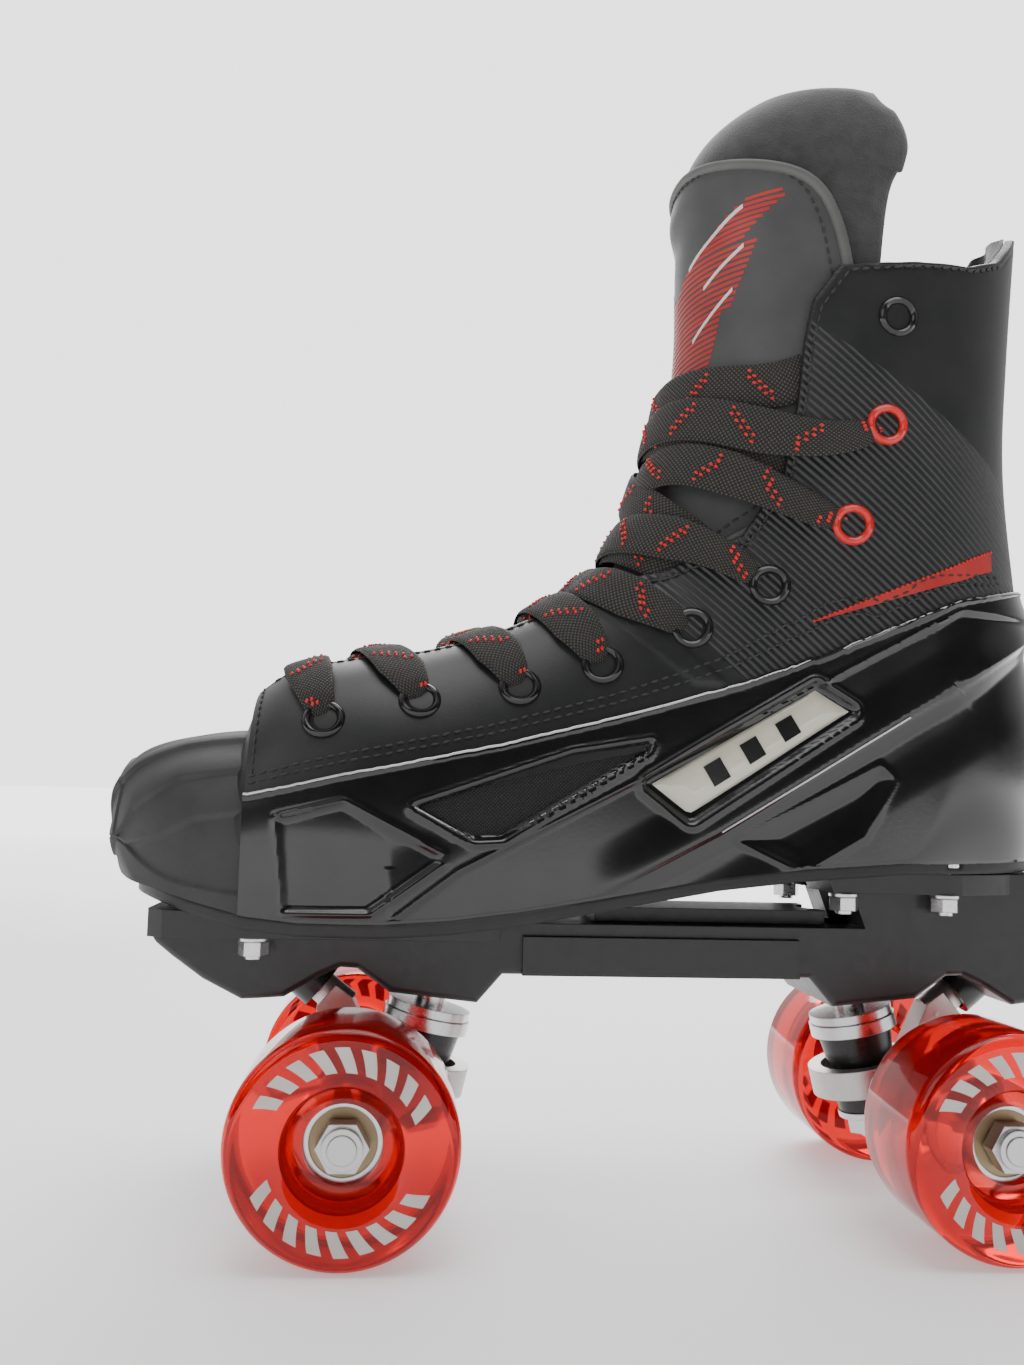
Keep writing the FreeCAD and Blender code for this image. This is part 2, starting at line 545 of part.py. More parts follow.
# ---- trucks -------------------------------------------------------------------------------------
def build_truck(front):
    axle, king, ring_at, steer = truck_frame(front)
    end = "front" if front else "rear"
    inward = 1 if front else -1
    y = V(0, 1, 0)

    # The hanger: a cup ring for the cushions, an axle beam, and an arm that carries the pivot pin.
    cup = cylinder(17.5, 9, ring_at - king * 4.5, king)
    beam = cylinder(8.2, 2 * 36.4, V(axle.x, -36.4, axle.z), y)
    shoulder = cylinder(11.5, 44, V(axle.x, -22, axle.z), y)
    pin_from = ring_at + steer * 30
    pin = Part.makeCone(5.6, 4.6, PIVOT_TIP - 30 - 4.6, pin_from, steer)
    tip = Part.makeSphere(4.6, ring_at + steer * (PIVOT_TIP - 4.6))
    low = V(axle.x, 0, axle.z)
    web_points = [low + V(-inward * 10, 0, 2), low + V(inward * 8, 0, 7.5), low + V(inward * 6.5, 0, 15),
                  pin_from + V(inward * 2.5, 0, 3.5), pin_from + steer * 7 + V(inward * 2.4, 0, 2.8),
                  pin_from + steer * 7 - V(inward * 3.6, 0, 4.2), low + V(-inward * 9, 0, 10)]
    web = Part.Face(Part.makePolygon([*[p - y * 5.5 for p in web_points], web_points[0] - y * 5.5])).extrude(y * 11)
    saddle_points = [low + V(-inward * 6, 0, -9), low + V(-inward * 6, 0, 8), ring_at + king * 3.5, ring_at - king * 4.4]
    saddle = Part.Face(Part.makePolygon([*[p - y * 14 for p in saddle_points], saddle_points[0] - y * 14])).extrude(y * 28)
    hanger = cup.fuse(beam).fuse(shoulder).fuse(web).fuse(pin).fuse(tip).fuse(saddle)
    hanger = hanger.cut(cylinder(13.2, 20, ring_at + king * 0.6, king))
    hanger = hanger.cut(cylinder(12.2, 20, ring_at - king * 21.4, king))
    hanger = hanger.cut(cylinder(7.0, 40, ring_at - king * 20, king))
    hanger = hanger.cut(cylinder(16.0, 14, ring_at + king * 12.5, king))
    hanger = hanger.cut(cylinder(AXLE_R + 0.02, 90, V(axle.x, -45, axle.z), y))
    export(f"hanger_{end}", hanger.removeSplitter())

    rod = cylinder(AXLE_R, 2 * AXLE_END, V(axle.x, -AXLE_END, axle.z), y)
    export(f"axle_{end}", rod)
    nuts, washers, races, spacers = [], [], [], []
    for side in (-1, 1):
        out = V(0, side, 0)
        at = V(axle.x, 0, axle.z)
        clear = AXLE_R + 0.03
        washers.append(ring(6.0, clear, 0.9, at + out * 36.5, out))
        washers.append(ring(6.0, clear, 0.9, at + out * (HUB_OUT + 0.05), out))
        nut = hexagon(13, 6.0, at + out * (HUB_OUT + 1.0), out).fuse(
            cylinder(5.7, 1.6, at + out * (HUB_OUT + 6.9), out))
        nuts.append(nut.cut(cylinder(clear, 20, at + out * HUB_OUT, out)))
        for start in (HUB_IN, HUB_OUT - BEARING_W):
            races.append(ring(6.0, clear, BEARING_W, at + out * start, out))
        gap = HUB_OUT - HUB_IN - 2 * BEARING_W
        spacers.append(ring(5.6, clear, gap - 0.1, at + out * (HUB_IN + BEARING_W + 0.05), out))
    export(f"axle_nuts_{end}", *nuts)
    export(f"axle_washers_{end}", *washers)
    export(f"bearing_inner_races_{end}", *races)
    export(f"bearing_spacers_{end}", *spacers)

    # What the kingpin holds: it stays with the chassis, and the cushions give as the hanger tilts.
    export(f"upper_cushion_{end}", Part.makeCone(10.4, 12.4, 15.4, ring_at + king * 0.7, king).cut(
        cylinder(KINGPIN_R + 0.1, 40, ring_at, king)))
    export(f"lower_cushion_{end}", Part.makeCone(10.4, 10.8, 9.4, ring_at - king * 10.9, king).cut(
        cylinder(KINGPIN_R + 0.1, 40, ring_at - king * 20, king)))
    retainer = ring(14.2, KINGPIN_R + 0.1, 2.2, ring_at + king * 16.3, king).fuse(
        ring(14.2, 12.7, 4.2, ring_at + king * 14.3, king))
    lower = ring(10.9, KINGPIN_R + 0.1, 2.0, ring_at - king * 13.1, king)
    kingpin = cylinder(KINGPIN_R, 21.5 + 12.1 + 20.5, ring_at - king * 20.5, king).fuse(
        hexagon(16, 6, ring_at + king * 33.55, king))
    king_nut = hexagon(15, 5.6, ring_at - king * 18.8, king).cut(
        cylinder(KINGPIN_R + 0.05, 30, ring_at - king * 30, king))
    seat = ring(13.6, KINGPIN_R + 0.1, 2.9, ring_at + king * 18.55, king)
    cup = ring(8.0, 5.9, PIVOT_TIP + 3 - 40, ring_at + steer * 40, steer).fuse(
        cylinder(8.0, 2, ring_at + steer * (PIVOT_TIP + 1), steer))
    return retainer, lower, kingpin, king_nut, seat, cup


# ---- wheels -------------------------------------------------------------------------------------
def build_wheel(name, x, side):
    """One wheel: tyre, hub with spokes, and the turning parts of its two bearings."""
    middle = side * TRACK / 2
    half = WHEEL_W / 2
    z = WHEEL_R
    lip = 3.5

    def arc(cx, cy, start, turn, steps=5):
        return [(cx + lip * math.cos(math.radians(start + turn * k / steps)),
                 cy + lip * math.sin(math.radians(start + turn * k / steps))) for k in range(steps + 1)]

    crown = [(WHEEL_R, 0)]
    outline = [(15.6, -11.5), (16.5, -half + 1.5), (19, -half + 0.3), (WHEEL_R - lip, -half)]
    outline += arc(WHEEL_R - lip, -half + lip, -90, 90) + crown + arc(WHEEL_R - lip, half - lip, 0, 90)
    outline += [(19, half - 0.3), (16.5, half - 1.5), (15.6, 11.5)]
    tyre = y_turned([(r, middle + y) for r, y in outline], x, z)
    export(f"wheel_{name}_tyre", tyre)

    inner, outer = sorted((side * HUB_IN, side * HUB_OUT))
    hub = y_turned([(BEARING_R + 0.02, inner), (14.5, inner), (15.5, inner + 1.5), (15.5, outer - 1.5), (14.5, outer),
                    (BEARING_R + 0.02, outer)], x, z)
    stop = y_turned([(8.5, inner + BEARING_W + 0.05), (BEARING_R + 0.5, inner + BEARING_W + 0.05),
                     (BEARING_R + 0.5, outer - BEARING_W - 0.05), (8.5, outer - BEARING_W - 0.05)], x, z)
    export(f"wheel_{name}_hub", hub.fuse(stop))

    races, shields, balls = [], [], []
    for start in (inner, outer - BEARING_W):
        races.append(y_turned([(9.5, start), (BEARING_R, start), (BEARING_R, start + BEARING_W), (9.5, start + BEARING_W)],
                              x, z))
        for face in (start + 0.25, start + BEARING_W - 0.75):
            shields.append(y_turned([(6.15, face), (9.48, face), (9.48, face + 0.5), (6.15, face + 0.5)], x, z))
        for k in range(7):
            turn = 2 * math.pi * k / 7
            balls.append(Part.makeSphere(1.7, V(x + 7.75 * math.cos(turn), start + BEARING_W / 2,
                                                z + 7.75 * math.sin(turn))))
    export(f"wheel_{name}_outer_races", *races)
    export(f"wheel_{name}_shields", *shields)
    export(f"wheel_{name}_balls", *balls)


def main():
    outsole = build_boot()
    build_tongue()
    build_lace()
    build_chassis(outsole)
    build_mounting()
    held = [build_truck(front) for front in (True, False)]
    names = ("upper_retainers", "lower_retainers", "kingpins", "kingpin_nuts", "kingpin_seats", "pivot_cups")
    for name, pieces in zip(names, zip(*held)):
        export(name, *pieces)
    for end, x in (("front", FRONT_X), ("rear", REAR_X)):
        for where, side in (("outer", -1), ("inner", 1)):
            build_wheel(f"{end}_{where}", x, side)


main()
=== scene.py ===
"""The look of a quad roller skate: leather, moulded shell, felt, laces, clear wheels and a plain studio."""

import bpy
import math
import numpy as np
from mathutils import Matrix, Vector


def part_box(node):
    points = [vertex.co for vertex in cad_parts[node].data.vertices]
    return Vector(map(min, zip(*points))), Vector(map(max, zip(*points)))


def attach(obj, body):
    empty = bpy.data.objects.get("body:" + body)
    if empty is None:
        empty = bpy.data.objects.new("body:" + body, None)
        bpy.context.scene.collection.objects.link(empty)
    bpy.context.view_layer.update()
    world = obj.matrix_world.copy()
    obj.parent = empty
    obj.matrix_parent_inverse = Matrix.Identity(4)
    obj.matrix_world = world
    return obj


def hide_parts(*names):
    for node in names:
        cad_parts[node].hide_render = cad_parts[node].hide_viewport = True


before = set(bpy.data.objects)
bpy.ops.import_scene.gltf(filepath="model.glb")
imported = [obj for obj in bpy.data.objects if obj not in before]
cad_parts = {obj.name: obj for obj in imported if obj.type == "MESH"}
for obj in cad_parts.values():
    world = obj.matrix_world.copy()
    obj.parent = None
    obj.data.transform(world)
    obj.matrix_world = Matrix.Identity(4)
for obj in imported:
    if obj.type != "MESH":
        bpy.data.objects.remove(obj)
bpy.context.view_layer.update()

# ---- driving dimensions, millimetres ------------------------------------------------------------
MM = 0.001
MID_X = 21.0
WHEELBASE = 190.0
WHEEL_R = 32.5
WHEEL_W = 38.0
TRACK = 104.0
BOOT_HALF = 153.5
WALL = 3.0
SOLE = 4.0
POWER = 2.3
BACK_WEIGHT = 1.3       # share of u given to a section's rounded back
PANEL_LIFT = -WALL - 1.0
THROAT_HALF = 13.0
LACE_W = 15.0
LACE_T = 1.5
STRAND_STEPS = 84
STRAND_COLUMNS = 15
TRACER_PERIOD = 21.0
TRACER_RUN = 9.0
# Stations where the strands of each eyelet cross the middle of the tongue.
LACE_CROSSINGS = [1.2, 2.2, 3.5, 4.7, 5.5, 6.6, 7.5, 8.65]
EYELET_R = 6.6
EYELET_HOLE = 4.0
BODY = "boot_and_chassis"

# Boot sections as in the CAD: front point, back point, half width, middle Y, share rounded at the front and
# at the back. The points are (X, Z).
SECTIONS = [
    ((-112, 157), (-112, 82), 44.3, 2.5, 0.60, 0.0),
    ((-97, 168.5), (-97, 80), 46.5, 1.5, 0.60, 0.0),
    ((-76, 173.5), (-72, 78), 48.0, 0.0, 0.62, 0.0),
    ((-54, 177), (-45, 79), 45.8, -1.5, 0.64, 0.0),
    ((-31, 184.5), (-18, 84), 42.5, -2.5, 0.64, 0.0),
    ((-12, 194), (10, 90), 40.5, -3.0, 0.60, 0.0),
    ((2, 206), (38, 95), 39.5, -2.5, 0.56, 0.0),
    ((11, 221), (68, 98), 39.5, -2.0, 0.52, 0.02),
    ((17.5, 241), (98, 98), 40.0, -1.0, 0.50, 0.08),
    ((22, 258), (126, 96), 40.5, -0.5, 0.50, 0.2),
    ((24.5, 275), (146, 100), 41.0, 0.0, 0.50, 0.32),
    ((25.5, 290), (BOOT_HALF, 125), 41.5, 0.0, 0.50, 0.42),
    ((25.5, 303), (152.5, 160), 42.0, 0.0, 0.50, 0.5),
    ((25.5, 315), (147, 200), 42.5, 0.0, 0.50, 0.5),
    ((25.5, 327), (143.5, 240), 43.0, 0.0, 0.50, 0.5),
    ((25.5, 338), (145, 280), 44.0, 0.0, 0.50, 0.5),
    ((25.5, 350), (150, 345), 45.0, 0.0, 0.50, 0.5),
]
CAP_SECTIONS = [
    ((-BOOT_HALF, 124), (-BOOT_HALF, 111), 6.0, 3.0, 0.5, 0.5),
    ((-152, 130), (-152, 106), 13.5, 3.0, 0.5, 0.5),
    ((-149.5, 135.5), (-149.5, 102), 20.5, 3.0, 0.5, 0.4),
    ((-145, 140.3), (-145, 96), 28.4, 3.0, 0.5, 0.3),
    ((-138, 143.6), (-138, 88), 35.5, 3.0, 0.5, 0.2),
    ((-128, 146), (-128, 82), 41.0, 3.0, 0.52, 0.1),
    ((-115, 148), (-115, 80), 44.0, 2.5, 0.56, 0.0),
    ((-94, 149), (-94, 78), 46.5, 1.5, 0.56, 0.0),
]
# The tongue's free top: front point, tilt in degrees, depth, half width, how far round the felt wraps.
TONGUE_TOP = [
    ((26.5, 332), 6, 120, 43.5, 1.14),
    ((28, 343), 6, 119, 44.5, 1.18),
    ((31, 353), 8, 116, 45.0, 1.20),
    ((37, 362), 10, 110, 44.5, 1.18),
    ((46, 370), 12, 102, 43.0, 1.04),
    ((57, 377), 14, 92, 40.0, 0.60),
]
# How far round each boot section the tongue wraps, as a share of the section's rounded front.
TONGUE_REACH = [0.15, 0.18, 0.20, 0.23, 0.26, 0.30, 0.36, 0.42, 0.52, 0.60, 0.67, 0.74, 0.82, 0.92, 1.02,
                1.06, 1.08]
TONGUE_STEPS = 18
PANEL_TOP = 19.0
PANEL_SHOULDER = 17.0
# Side-view lines and outlines on the boot, as (X, Z) points.
SOLE_LINE = [(-147, 98), (-135, 95.4), (-120, 91.4), (-106, 88), (-90, 86.6), (-66, 86.6), (-46, 87.9),
             (-25, 90.6), (0, 95), (36, 101.6), (62, 104.7), (96, 107.4), (BOOT_HALF, 108.5)]
TRIM_LINE = [(-106, 127.6), (-79.5, 133.9), (-62, 137.5), (-32.4, 144.1), (4.4, 154), (41.9, 165.5),
             (80, 180.2), (112, 194), (160, 205)]
FACING_LINE = [(-4, 206), (4, 199), (18.9, 201.3), (43.3, 213), (56.3, 232.5), (60.4, 257), (62, 276.5),
               (64.6, 289.5), (72.8, 300.8), (95.5, 303.1), (118, 305), (132, 311), (143, 323), (150, 334)]
EYELETS = [(-85.2, 150.5), (-56.4, 157.4), (-25.9, 162.4), (-0.5, 170), (27.2, 182.2), (51.6, 196.5),
           (77.9, 216.7), (88.5, 249.2), (92, 284.4)]
RED_EYELETS = (6, 7)
WINDOW = [(-57.6, 125), (-39.5, 115.5), (-31, 116), (13, 143), (14.4, 146.5), (-10, 142)]
BADGE = [(14.5, 133.5), (26.5, 124.5), (76.5, 157.5), (65.5, 164)]
HEXAGON = [(-97.1, 120.8), (-77.8, 125.7), (-49.4, 111.1), (-49.3, 108.7), (-69.4, 94.1), (-94, 93.7)]
HEEL_FACET = [(42.5, 117.2), (86.8, 140.4), (90.9, 136.8), (80.4, 119.6), (61.4, 108.5)]
LONG_CREASE = [(-62, 92.2), (-43.2, 106.6), (-13.5, 122.1), (16.8, 137.9), (47.7, 154), (76.1, 170.4),
               (112, 190)]
HEEL_CREASE = [(-6.7, 96.8), (14.5, 108.2), (36, 119.5), (65.7, 137.7), (95.4, 156.2), (150, 188)]

# ---- boot surface -------------------------------------------------------------------------------


def table_array(table):
    return np.array([[*t, *b, half, middle, top, bottom] for t, b, half, middle, top, bottom in table], float)


def smooth_rows(table, p):
    """Rows of the table at fractional places p, on a smooth curve through them."""
    last = len(table) - 1
    p = np.clip(p, 0, last)
    i = np.minimum(p.astype(int), last - 1)
    t = (p - i)[..., None]
    a, b, c, d = (table[np.clip(i + k, 0, last)] for k in (-1, 0, 1, 2))
    tangent_b, tangent_c = (c - a) / 2, (d - b) / 2
    t2, t3 = t * t, t * t * t
    low = (2 * t3 - 3 * t2 + 1) * b + (t3 - 2 * t2 + t) * tangent_b
    return low + (3 * t2 - 2 * t3) * c + (t3 - t2) * tangent_c


def raw_surface(table, p, u):
    """Half of the surface: u is 0 at the front, 0.5 where the front's rounding ends and 1 at the back."""
    row = smooth_rows(table, p)
    tx, tz, bx, bz, half, middle, top, bottom = (row[..., k] for k in range(8))
    bottom = np.clip(bottom, 0, 1)
    share = np.sin(np.pi / 2 * np.clip(u / 0.5, 0, 1))
    front = top * (1 - (1 - share ** POWER).clip(0) ** (1 / POWER))
    w = np.clip(u * 2 - 1, 0, 1)
    straight = 1 - top - bottom
    share_straight = straight / (straight + bottom * BACK_WEIGHT)
    flat = np.clip(w / np.maximum(share_straight, 1e-6), 0, 1)
    angle = np.clip((w - share_straight) / np.maximum(1 - share_straight, 1e-6), 0, 1) * np.pi / 2
    along = np.where(u < 0.5, front, top + straight * flat + bottom * np.sin(angle))
    width = np.where(u < 0.5, share, np.where(w < share_straight, 1.0, np.cos(angle)))
    return np.stack([tx + (bx - tx) * along, half * width, tz + (bz - tz) * along, middle], -1)


def surface(table, p, u, side, lift=0.0):
    """Points of a lofted surface, side -1 outer or 1 inner, moved outwards by lift."""
    p, u = np.broadcast_arrays(np.asarray(p, float), np.asarray(u, float))
    step_p, step_u = 0.01, 0.004    # how far apart the neighbours that give the normal are
    here = raw_surface(table, p, u)[..., :3]
    p_high, p_low = np.minimum(p + step_p, len(table) - 1), np.maximum(p - step_p, 0)
    u_high, u_low = np.minimum(u + step_u, 1), np.maximum(u - step_u, 0)
    dp = raw_surface(table, p_high, u)[..., :3] - raw_surface(table, p_low, u)[..., :3]
    du = raw_surface(table, p, u_high)[..., :3] - raw_surface(table, p, u_low)[..., :3]
    normal = np.cross(dp, du)
    normal = normal / np.maximum(np.linalg.norm(normal, axis=-1, keepdims=True), 1e-9)
    middle = raw_surface(table, p, u)[..., 3]
    at = here + normal * np.asarray(lift)[..., None]
    at[..., 1] = np.where(u <= 0, 0.0, at[..., 1])
    return np.stack([at[..., 0], middle + side * at[..., 1], at[..., 2]], -1)


BOOT = table_array(SECTIONS)
CAP = table_array(CAP_SECTIONS)


def line_height(line, x):
    xs, zs = zip(*line)
    return np.interp(x, xs, zs)


FINE = np.linspace(0, 1, 801)


def crossing(p, kept, default):
    """For each p, the first u from which kept(x, z) stays true, or default where it never changes."""
    out = []
    for value in np.atleast_1d(p):
        at = raw_surface(BOOT, np.full_like(FINE, value), FINE)
        good = kept(at[:, 0], at[:, 2], at[:, 1])
        out.append(FINE[np.argmax(good)] if good.any() else default)
    return np.array(out)


def front_edge(p):
    """Where the quarters begin: the throat's edge over the foot, and the facing and collar line above it."""
    return crossing(p, lambda x, z, y: (y >= THROAT_HALF) & (z <= line_height(FACING_LINE, x)), 1.0)


def trim_edge(p):
    return crossing(p, lambda x, z, y: (z < line_height(TRIM_LINE, x)) & (y > 5), 1.0)


def sole_edge(p):
    return crossing(p, lambda x, z, y: z < line_height(SOLE_LINE, x) + SOLE, 1.0)


def locate(x, z):
    """The places (p, u) of side-view points on the boot."""
    x, z = np.asarray(x, float), np.asarray(z, float)
    low, high = np.zeros_like(x), np.full_like(x, len(SECTIONS) - 1.0)
    for _ in range(30):
        middle = (low + high) / 2
        row = smooth_rows(BOOT, middle)
        tx, tz, bx, bz = (row[..., k] for k in range(4))
        above = (bx - tx) * (z - tz) - (bz - tz) * (x - tx) > 0
        low, high = np.where(above, middle, low), np.where(above, high, middle)
    tx, tz, bx, bz, _, _, top, bottom = (smooth_rows(BOOT, low)[..., k] for k in range(8))
    bottom = np.clip(bottom, 0, 1)
    along = ((x - tx) * (bx - tx) + (z - tz) * (bz - tz)) / ((bx - tx) ** 2 + (bz - tz) ** 2)
    along = np.clip(along, 0, 1)
    share = (1 - (1 - np.clip(along / top, 0, 1)) ** POWER) ** (1 / POWER)
    front = np.arcsin(np.clip(share, 0, 1)) / np.pi
    straight = np.maximum(1 - top - bottom, 1e-6)
    share_straight = straight / (straight + bottom * BACK_WEIGHT)
    flat = np.clip((along - top) / straight, 0, 1) * share_straight
    turned = np.arcsin(np.clip((along - top - straight) / np.maximum(bottom, 1e-6), 0, 1)) / (np.pi / 2)
    back = 0.5 + (flat + (1 - share_straight) * turned) / 2
    return low, np.where(along < top, front, back)


def polygon_distance(x, z, points, closed=True):
    """Distance to a side-view outline, below zero inside it."""
    points = np.array(points, float)
    ends = np.roll(points, -1, 0) if closed else points[1:]
    starts = points if closed else points[:-1]
    best = np.full(np.shape(x), 1e9)
    inside = np.zeros(np.shape(x), bool)
    for (ax, az), (bx, bz) in zip(starts, ends):
        dx, dz = bx - ax, bz - az
        t = np.clip(((x - ax) * dx + (z - az) * dz) / (dx * dx + dz * dz), 0, 1)
        best = np.minimum(best, np.hypot(x - ax - dx * t, z - az - dz * t))
        crosses = (az > z) != (bz > z)
        inside ^= crosses & (x < (bx - ax) * (z - az) / (bz - az + 1e-12) + ax)
    return np.where(inside, -best, best) if closed else best


def soft_step(low, high, value):
    t = np.clip((value - low) / (high - low), 0, 1)
    return t * t * (3 - 2 * t)


# ---- meshes -------------------------------------------------------------------------------------
def add_mesh(name, points, faces, material, slot, body=BODY, smooth=50, uvs=None):
    """A mesh object from points in millimetres, riding on a body."""
    mesh = bpy.data.meshes.new(name)
    mesh.from_pydata([tuple(q * MM for q in p) for p in points], [], faces)
    if uvs is not None:
        layer = mesh.uv_layers.new(name="UVMap")
        loops = np.zeros(len(mesh.loops), np.int32)
        mesh.loops.foreach_get("vertex_index", loops)
        layer.data.foreach_set("uv", np.asarray(uvs, np.float32)[loops].ravel())
    mesh.validate()
    for polygon in mesh.polygons:
        polygon.use_smooth = True
    mesh.set_sharp_from_angle(angle=math.radians(smooth))
    mesh.materials.append(material)
    obj = place_object(name, mesh)
    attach(obj, body)
    return obj


def grid_faces(rows, columns, offset=0, wrap=False, flip=False, closed=False):
    """Quads of a grid of points, joined round its columns if wrap and round its rows if closed."""
    faces = []
    for r in range(rows if closed else rows - 1):
        below = (r + 1) % rows
        for c in range(columns if wrap else columns - 1):
            n = (c + 1) % columns
            face = [offset + i * columns + j for i, j in ((r, c), (r, n), (below, n), (below, c))]
            faces.append(face[::-1] if flip else face)
    return faces


def shell_mesh(outer, inner):
    """Points and faces of a closed sheet between two grids of the same size."""
    rows, columns = outer.shape[:2]
    points = np.concatenate([outer.reshape(-1, 3), inner.reshape(-1, 3)])
    count = rows * columns
    faces = grid_faces(rows, columns) + grid_faces(rows, columns, count, flip=True)
    rim = list(range(columns)) + [r * columns + columns - 1 for r in range(1, rows)]
    rim += [(rows - 1) * columns + c for c in range(columns - 2, -1, -1)]
    rim += [r * columns for r in range(rows - 2, 0, -1)]
    for a, b in zip(rim, rim[1:] + rim[:1]):
        faces.append([b, a, a + count, b + count])
    return points, faces


def join_parts(parts):
    """One list of points and faces from several."""
    points, faces, offset = [], [], 0
    for part_points, part_faces in parts:
        points.append(np.asarray(part_points, float).reshape(-1, 3))
        faces += [[i + offset for i in face] for face in part_faces]
        offset += len(points[-1])
    return np.concatenate(points), faces


def sheet(table, p, u, side, outer, inner):
    """A closed sheet between two lifts of a lofted surface."""
    return shell_mesh(surface(table, p, u, side, outer), surface(table, p, u, side, inner))


def turned(profile, centre, axis=(0, 1, 0), steps=64):
    """A closed (radius, height) profile turned about an axis through centre."""
    axis = Vector(axis).normalized()
    side = axis.orthogonal().normalized()
    other = axis.cross(side)
    angles = [2 * math.pi * k / steps for k in range(steps)]
    points = [tuple(Vector(centre) + axis * height + (side * math.cos(a) + other * math.sin(a)) * radius)
              for radius, height in profile for a in angles]
    return np.array(points), grid_faces(len(profile), steps, wrap=True, closed=True)


def edge_spread(count, edge=0.06):
    """Places 0 to 1, closer together near both ends."""
    t = np.linspace(0, 1, count)
    return t - edge * np.sin(2 * np.pi * t)


def round_over(distance, radius):
    """How far an edge of that radius has dropped at a distance from it."""
    d = np.clip(distance, 0, radius)
    return -(radius - np.sqrt(np.maximum(radius * radius - (radius - d) ** 2, 0)))


# ---- materials ----------------------------------------------------------------------------------
WAVE_PITCH = 0.314      # distance between the bands of a wave texture of scale 1
METAL_EDGE = 0.0005


def new_material(name, colour, roughness, **sockets):
    material = bpy.data.materials.new(name)
    material.use_nodes = True
    shader = material.node_tree.nodes["Principled BSDF"]
    shader.inputs["Base Color"].default_value = (*colour, 1)
    shader.inputs["Roughness"].default_value = roughness
    for socket, value in sockets.items():
        shader.inputs[socket.replace("_", " ")].default_value = value
    return material, material.node_tree, shader


def link(tree, a, b):
    tree.links.new(a, b)


def add_node(tree, kind, values, **more):
    """A shader node with its inputs set: a socket is linked and anything else is the input's value."""
    node = tree.nodes.new("ShaderNode" + kind)
    for name, value in {**values, **more}.items():
        if isinstance(value, bpy.types.NodeSocket):
            link(tree, value, node.inputs[name])
        else:
            node.inputs[name].default_value = value
    return node


def coordinates(tree, kind="Object", turn=(0, 0, 0)):
    source = tree.nodes.new("ShaderNodeTexCoord").outputs[kind]
    return add_node(tree, "Mapping", {}, Rotation=turn, Vector=source).outputs["Vector"]


def noise(tree, vector, scale, detail=4.0):
    values = {"Scale": scale, "Detail": detail, "Roughness": 0.55}
    return add_node(tree, "TexNoise", values, Vector=vector).outputs["Fac"]


def wave(tree, vector, scale, direction):
    node = add_node(tree, "TexWave", {}, Scale=scale, Distortion=0.0, Vector=vector)
    node.bands_direction = direction
    return node.outputs["Fac"]


def math_node(tree, operation, a, b):
    node = tree.nodes.new("ShaderNodeMath")
    node.operation = operation
    for k, value in enumerate((a, b)):
        if isinstance(value, (int, float)):
            node.inputs[k].default_value = value
        else:
            link(tree, value, node.inputs[k])
    return node.outputs[0]


def ramp(tree, factor, low, high, start=0.3, end=0.7):
    """Colour from low to high as the factor goes from start to end."""
    node = add_node(tree, "ValToRGB", {}, Fac=factor)
    for element, place, colour in zip(node.color_ramp.elements, (start, end), (low, high)):
        element.position = place
        element.color = (*colour, 1)
    return node.outputs["Color"]


def bump(tree, shader, height, strength, distance, edge=0.0):
    """Relief on a shader, with its edges rounded over that radius in metres if asked."""
    node = add_node(tree, "Bump", {}, Strength=strength, Distance=distance, Height=height)
    link(tree, node.outputs["Normal"], shader.inputs["Normal"])
    if edge:
        link(tree, add_node(tree, "Bevel", {}, Radius=edge).outputs["Normal"], node.inputs["Normal"])


def varied(tree, shader, vector, scale, low, high):
    link(tree, ramp(tree, noise(tree, vector, scale), low, high), shader.inputs["Base Color"])


def rough_varied(tree, shader, vector, scale, low, high):
    node = add_node(tree, "MapRange", {"To Min": low, "To Max": high}, Value=noise(tree, vector, scale))
    link(tree, node.outputs["Result"], shader.inputs["Roughness"])


def grained(name, low, high, rough_low, rough_high, grain, depth, edge=0.0, **sockets):
    """Leather or moulded plastic: fine grain in the relief and soft changes of tone and gloss."""
    material, tree, shader = new_material(name, low, rough_low, **sockets)
    vector = coordinates(tree)
    varied(tree, shader, vector, 60, low, high)
    rough_varied(tree, shader, vector, 90, rough_low, rough_high)
    cells = add_node(tree, "TexVoronoi", {}, Scale=grain, Vector=vector)
    height = math_node(tree, "ADD", cells.outputs["Distance"], noise(tree, vector, grain * 1.7))
    bump(tree, shader, height, 0.5, depth, edge)
    return material


def woven(name, low, high, pitch, depth, rough=0.85, kind="Object", **sockets):
    """Cloth with crossing threads of that pitch in metres, or in UV units of a metre."""
    material, tree, shader = new_material(name, low, rough, **sockets)
    vector = coordinates(tree, kind, turn=(0, 0, math.radians(45)) if kind == "UV" else (0, 0.785, 0))
    scale = WAVE_PITCH / pitch
    across = wave(tree, vector, scale, "X")
    along = wave(tree, vector, scale, "Y" if kind == "UV" else "Z")
    threads = math_node(tree, "MULTIPLY", across, along)
    link(tree, ramp(tree, threads, low, high, 0.1, 0.8), shader.inputs["Base Color"])
    bump(tree, shader, threads, 0.8, depth)
    return material


def felted(name, low, high, depth):
    material, tree, shader = new_material(name, low, 0.95, Sheen_Weight=0.5, Sheen_Roughness=0.5)
    vector = coordinates(tree)
    varied(tree, shader, vector, 220, low, high)
    bump(tree, shader, noise(tree, vector, 1400, 6), 0.7, depth)
    return material


def metal(name, colour, rough, brush=900, metallic=1.0, depth=0.00003, **sockets):
    material, tree, shader = new_material(name, colour, rough, Metallic=metallic, **sockets)
    vector = coordinates(tree)
    rough_varied(tree, shader, vector, brush, rough * 0.75, rough * 1.35)
    bump(tree, shader, noise(tree, vector, brush), 0.35, depth, METAL_EDGE)
    return material


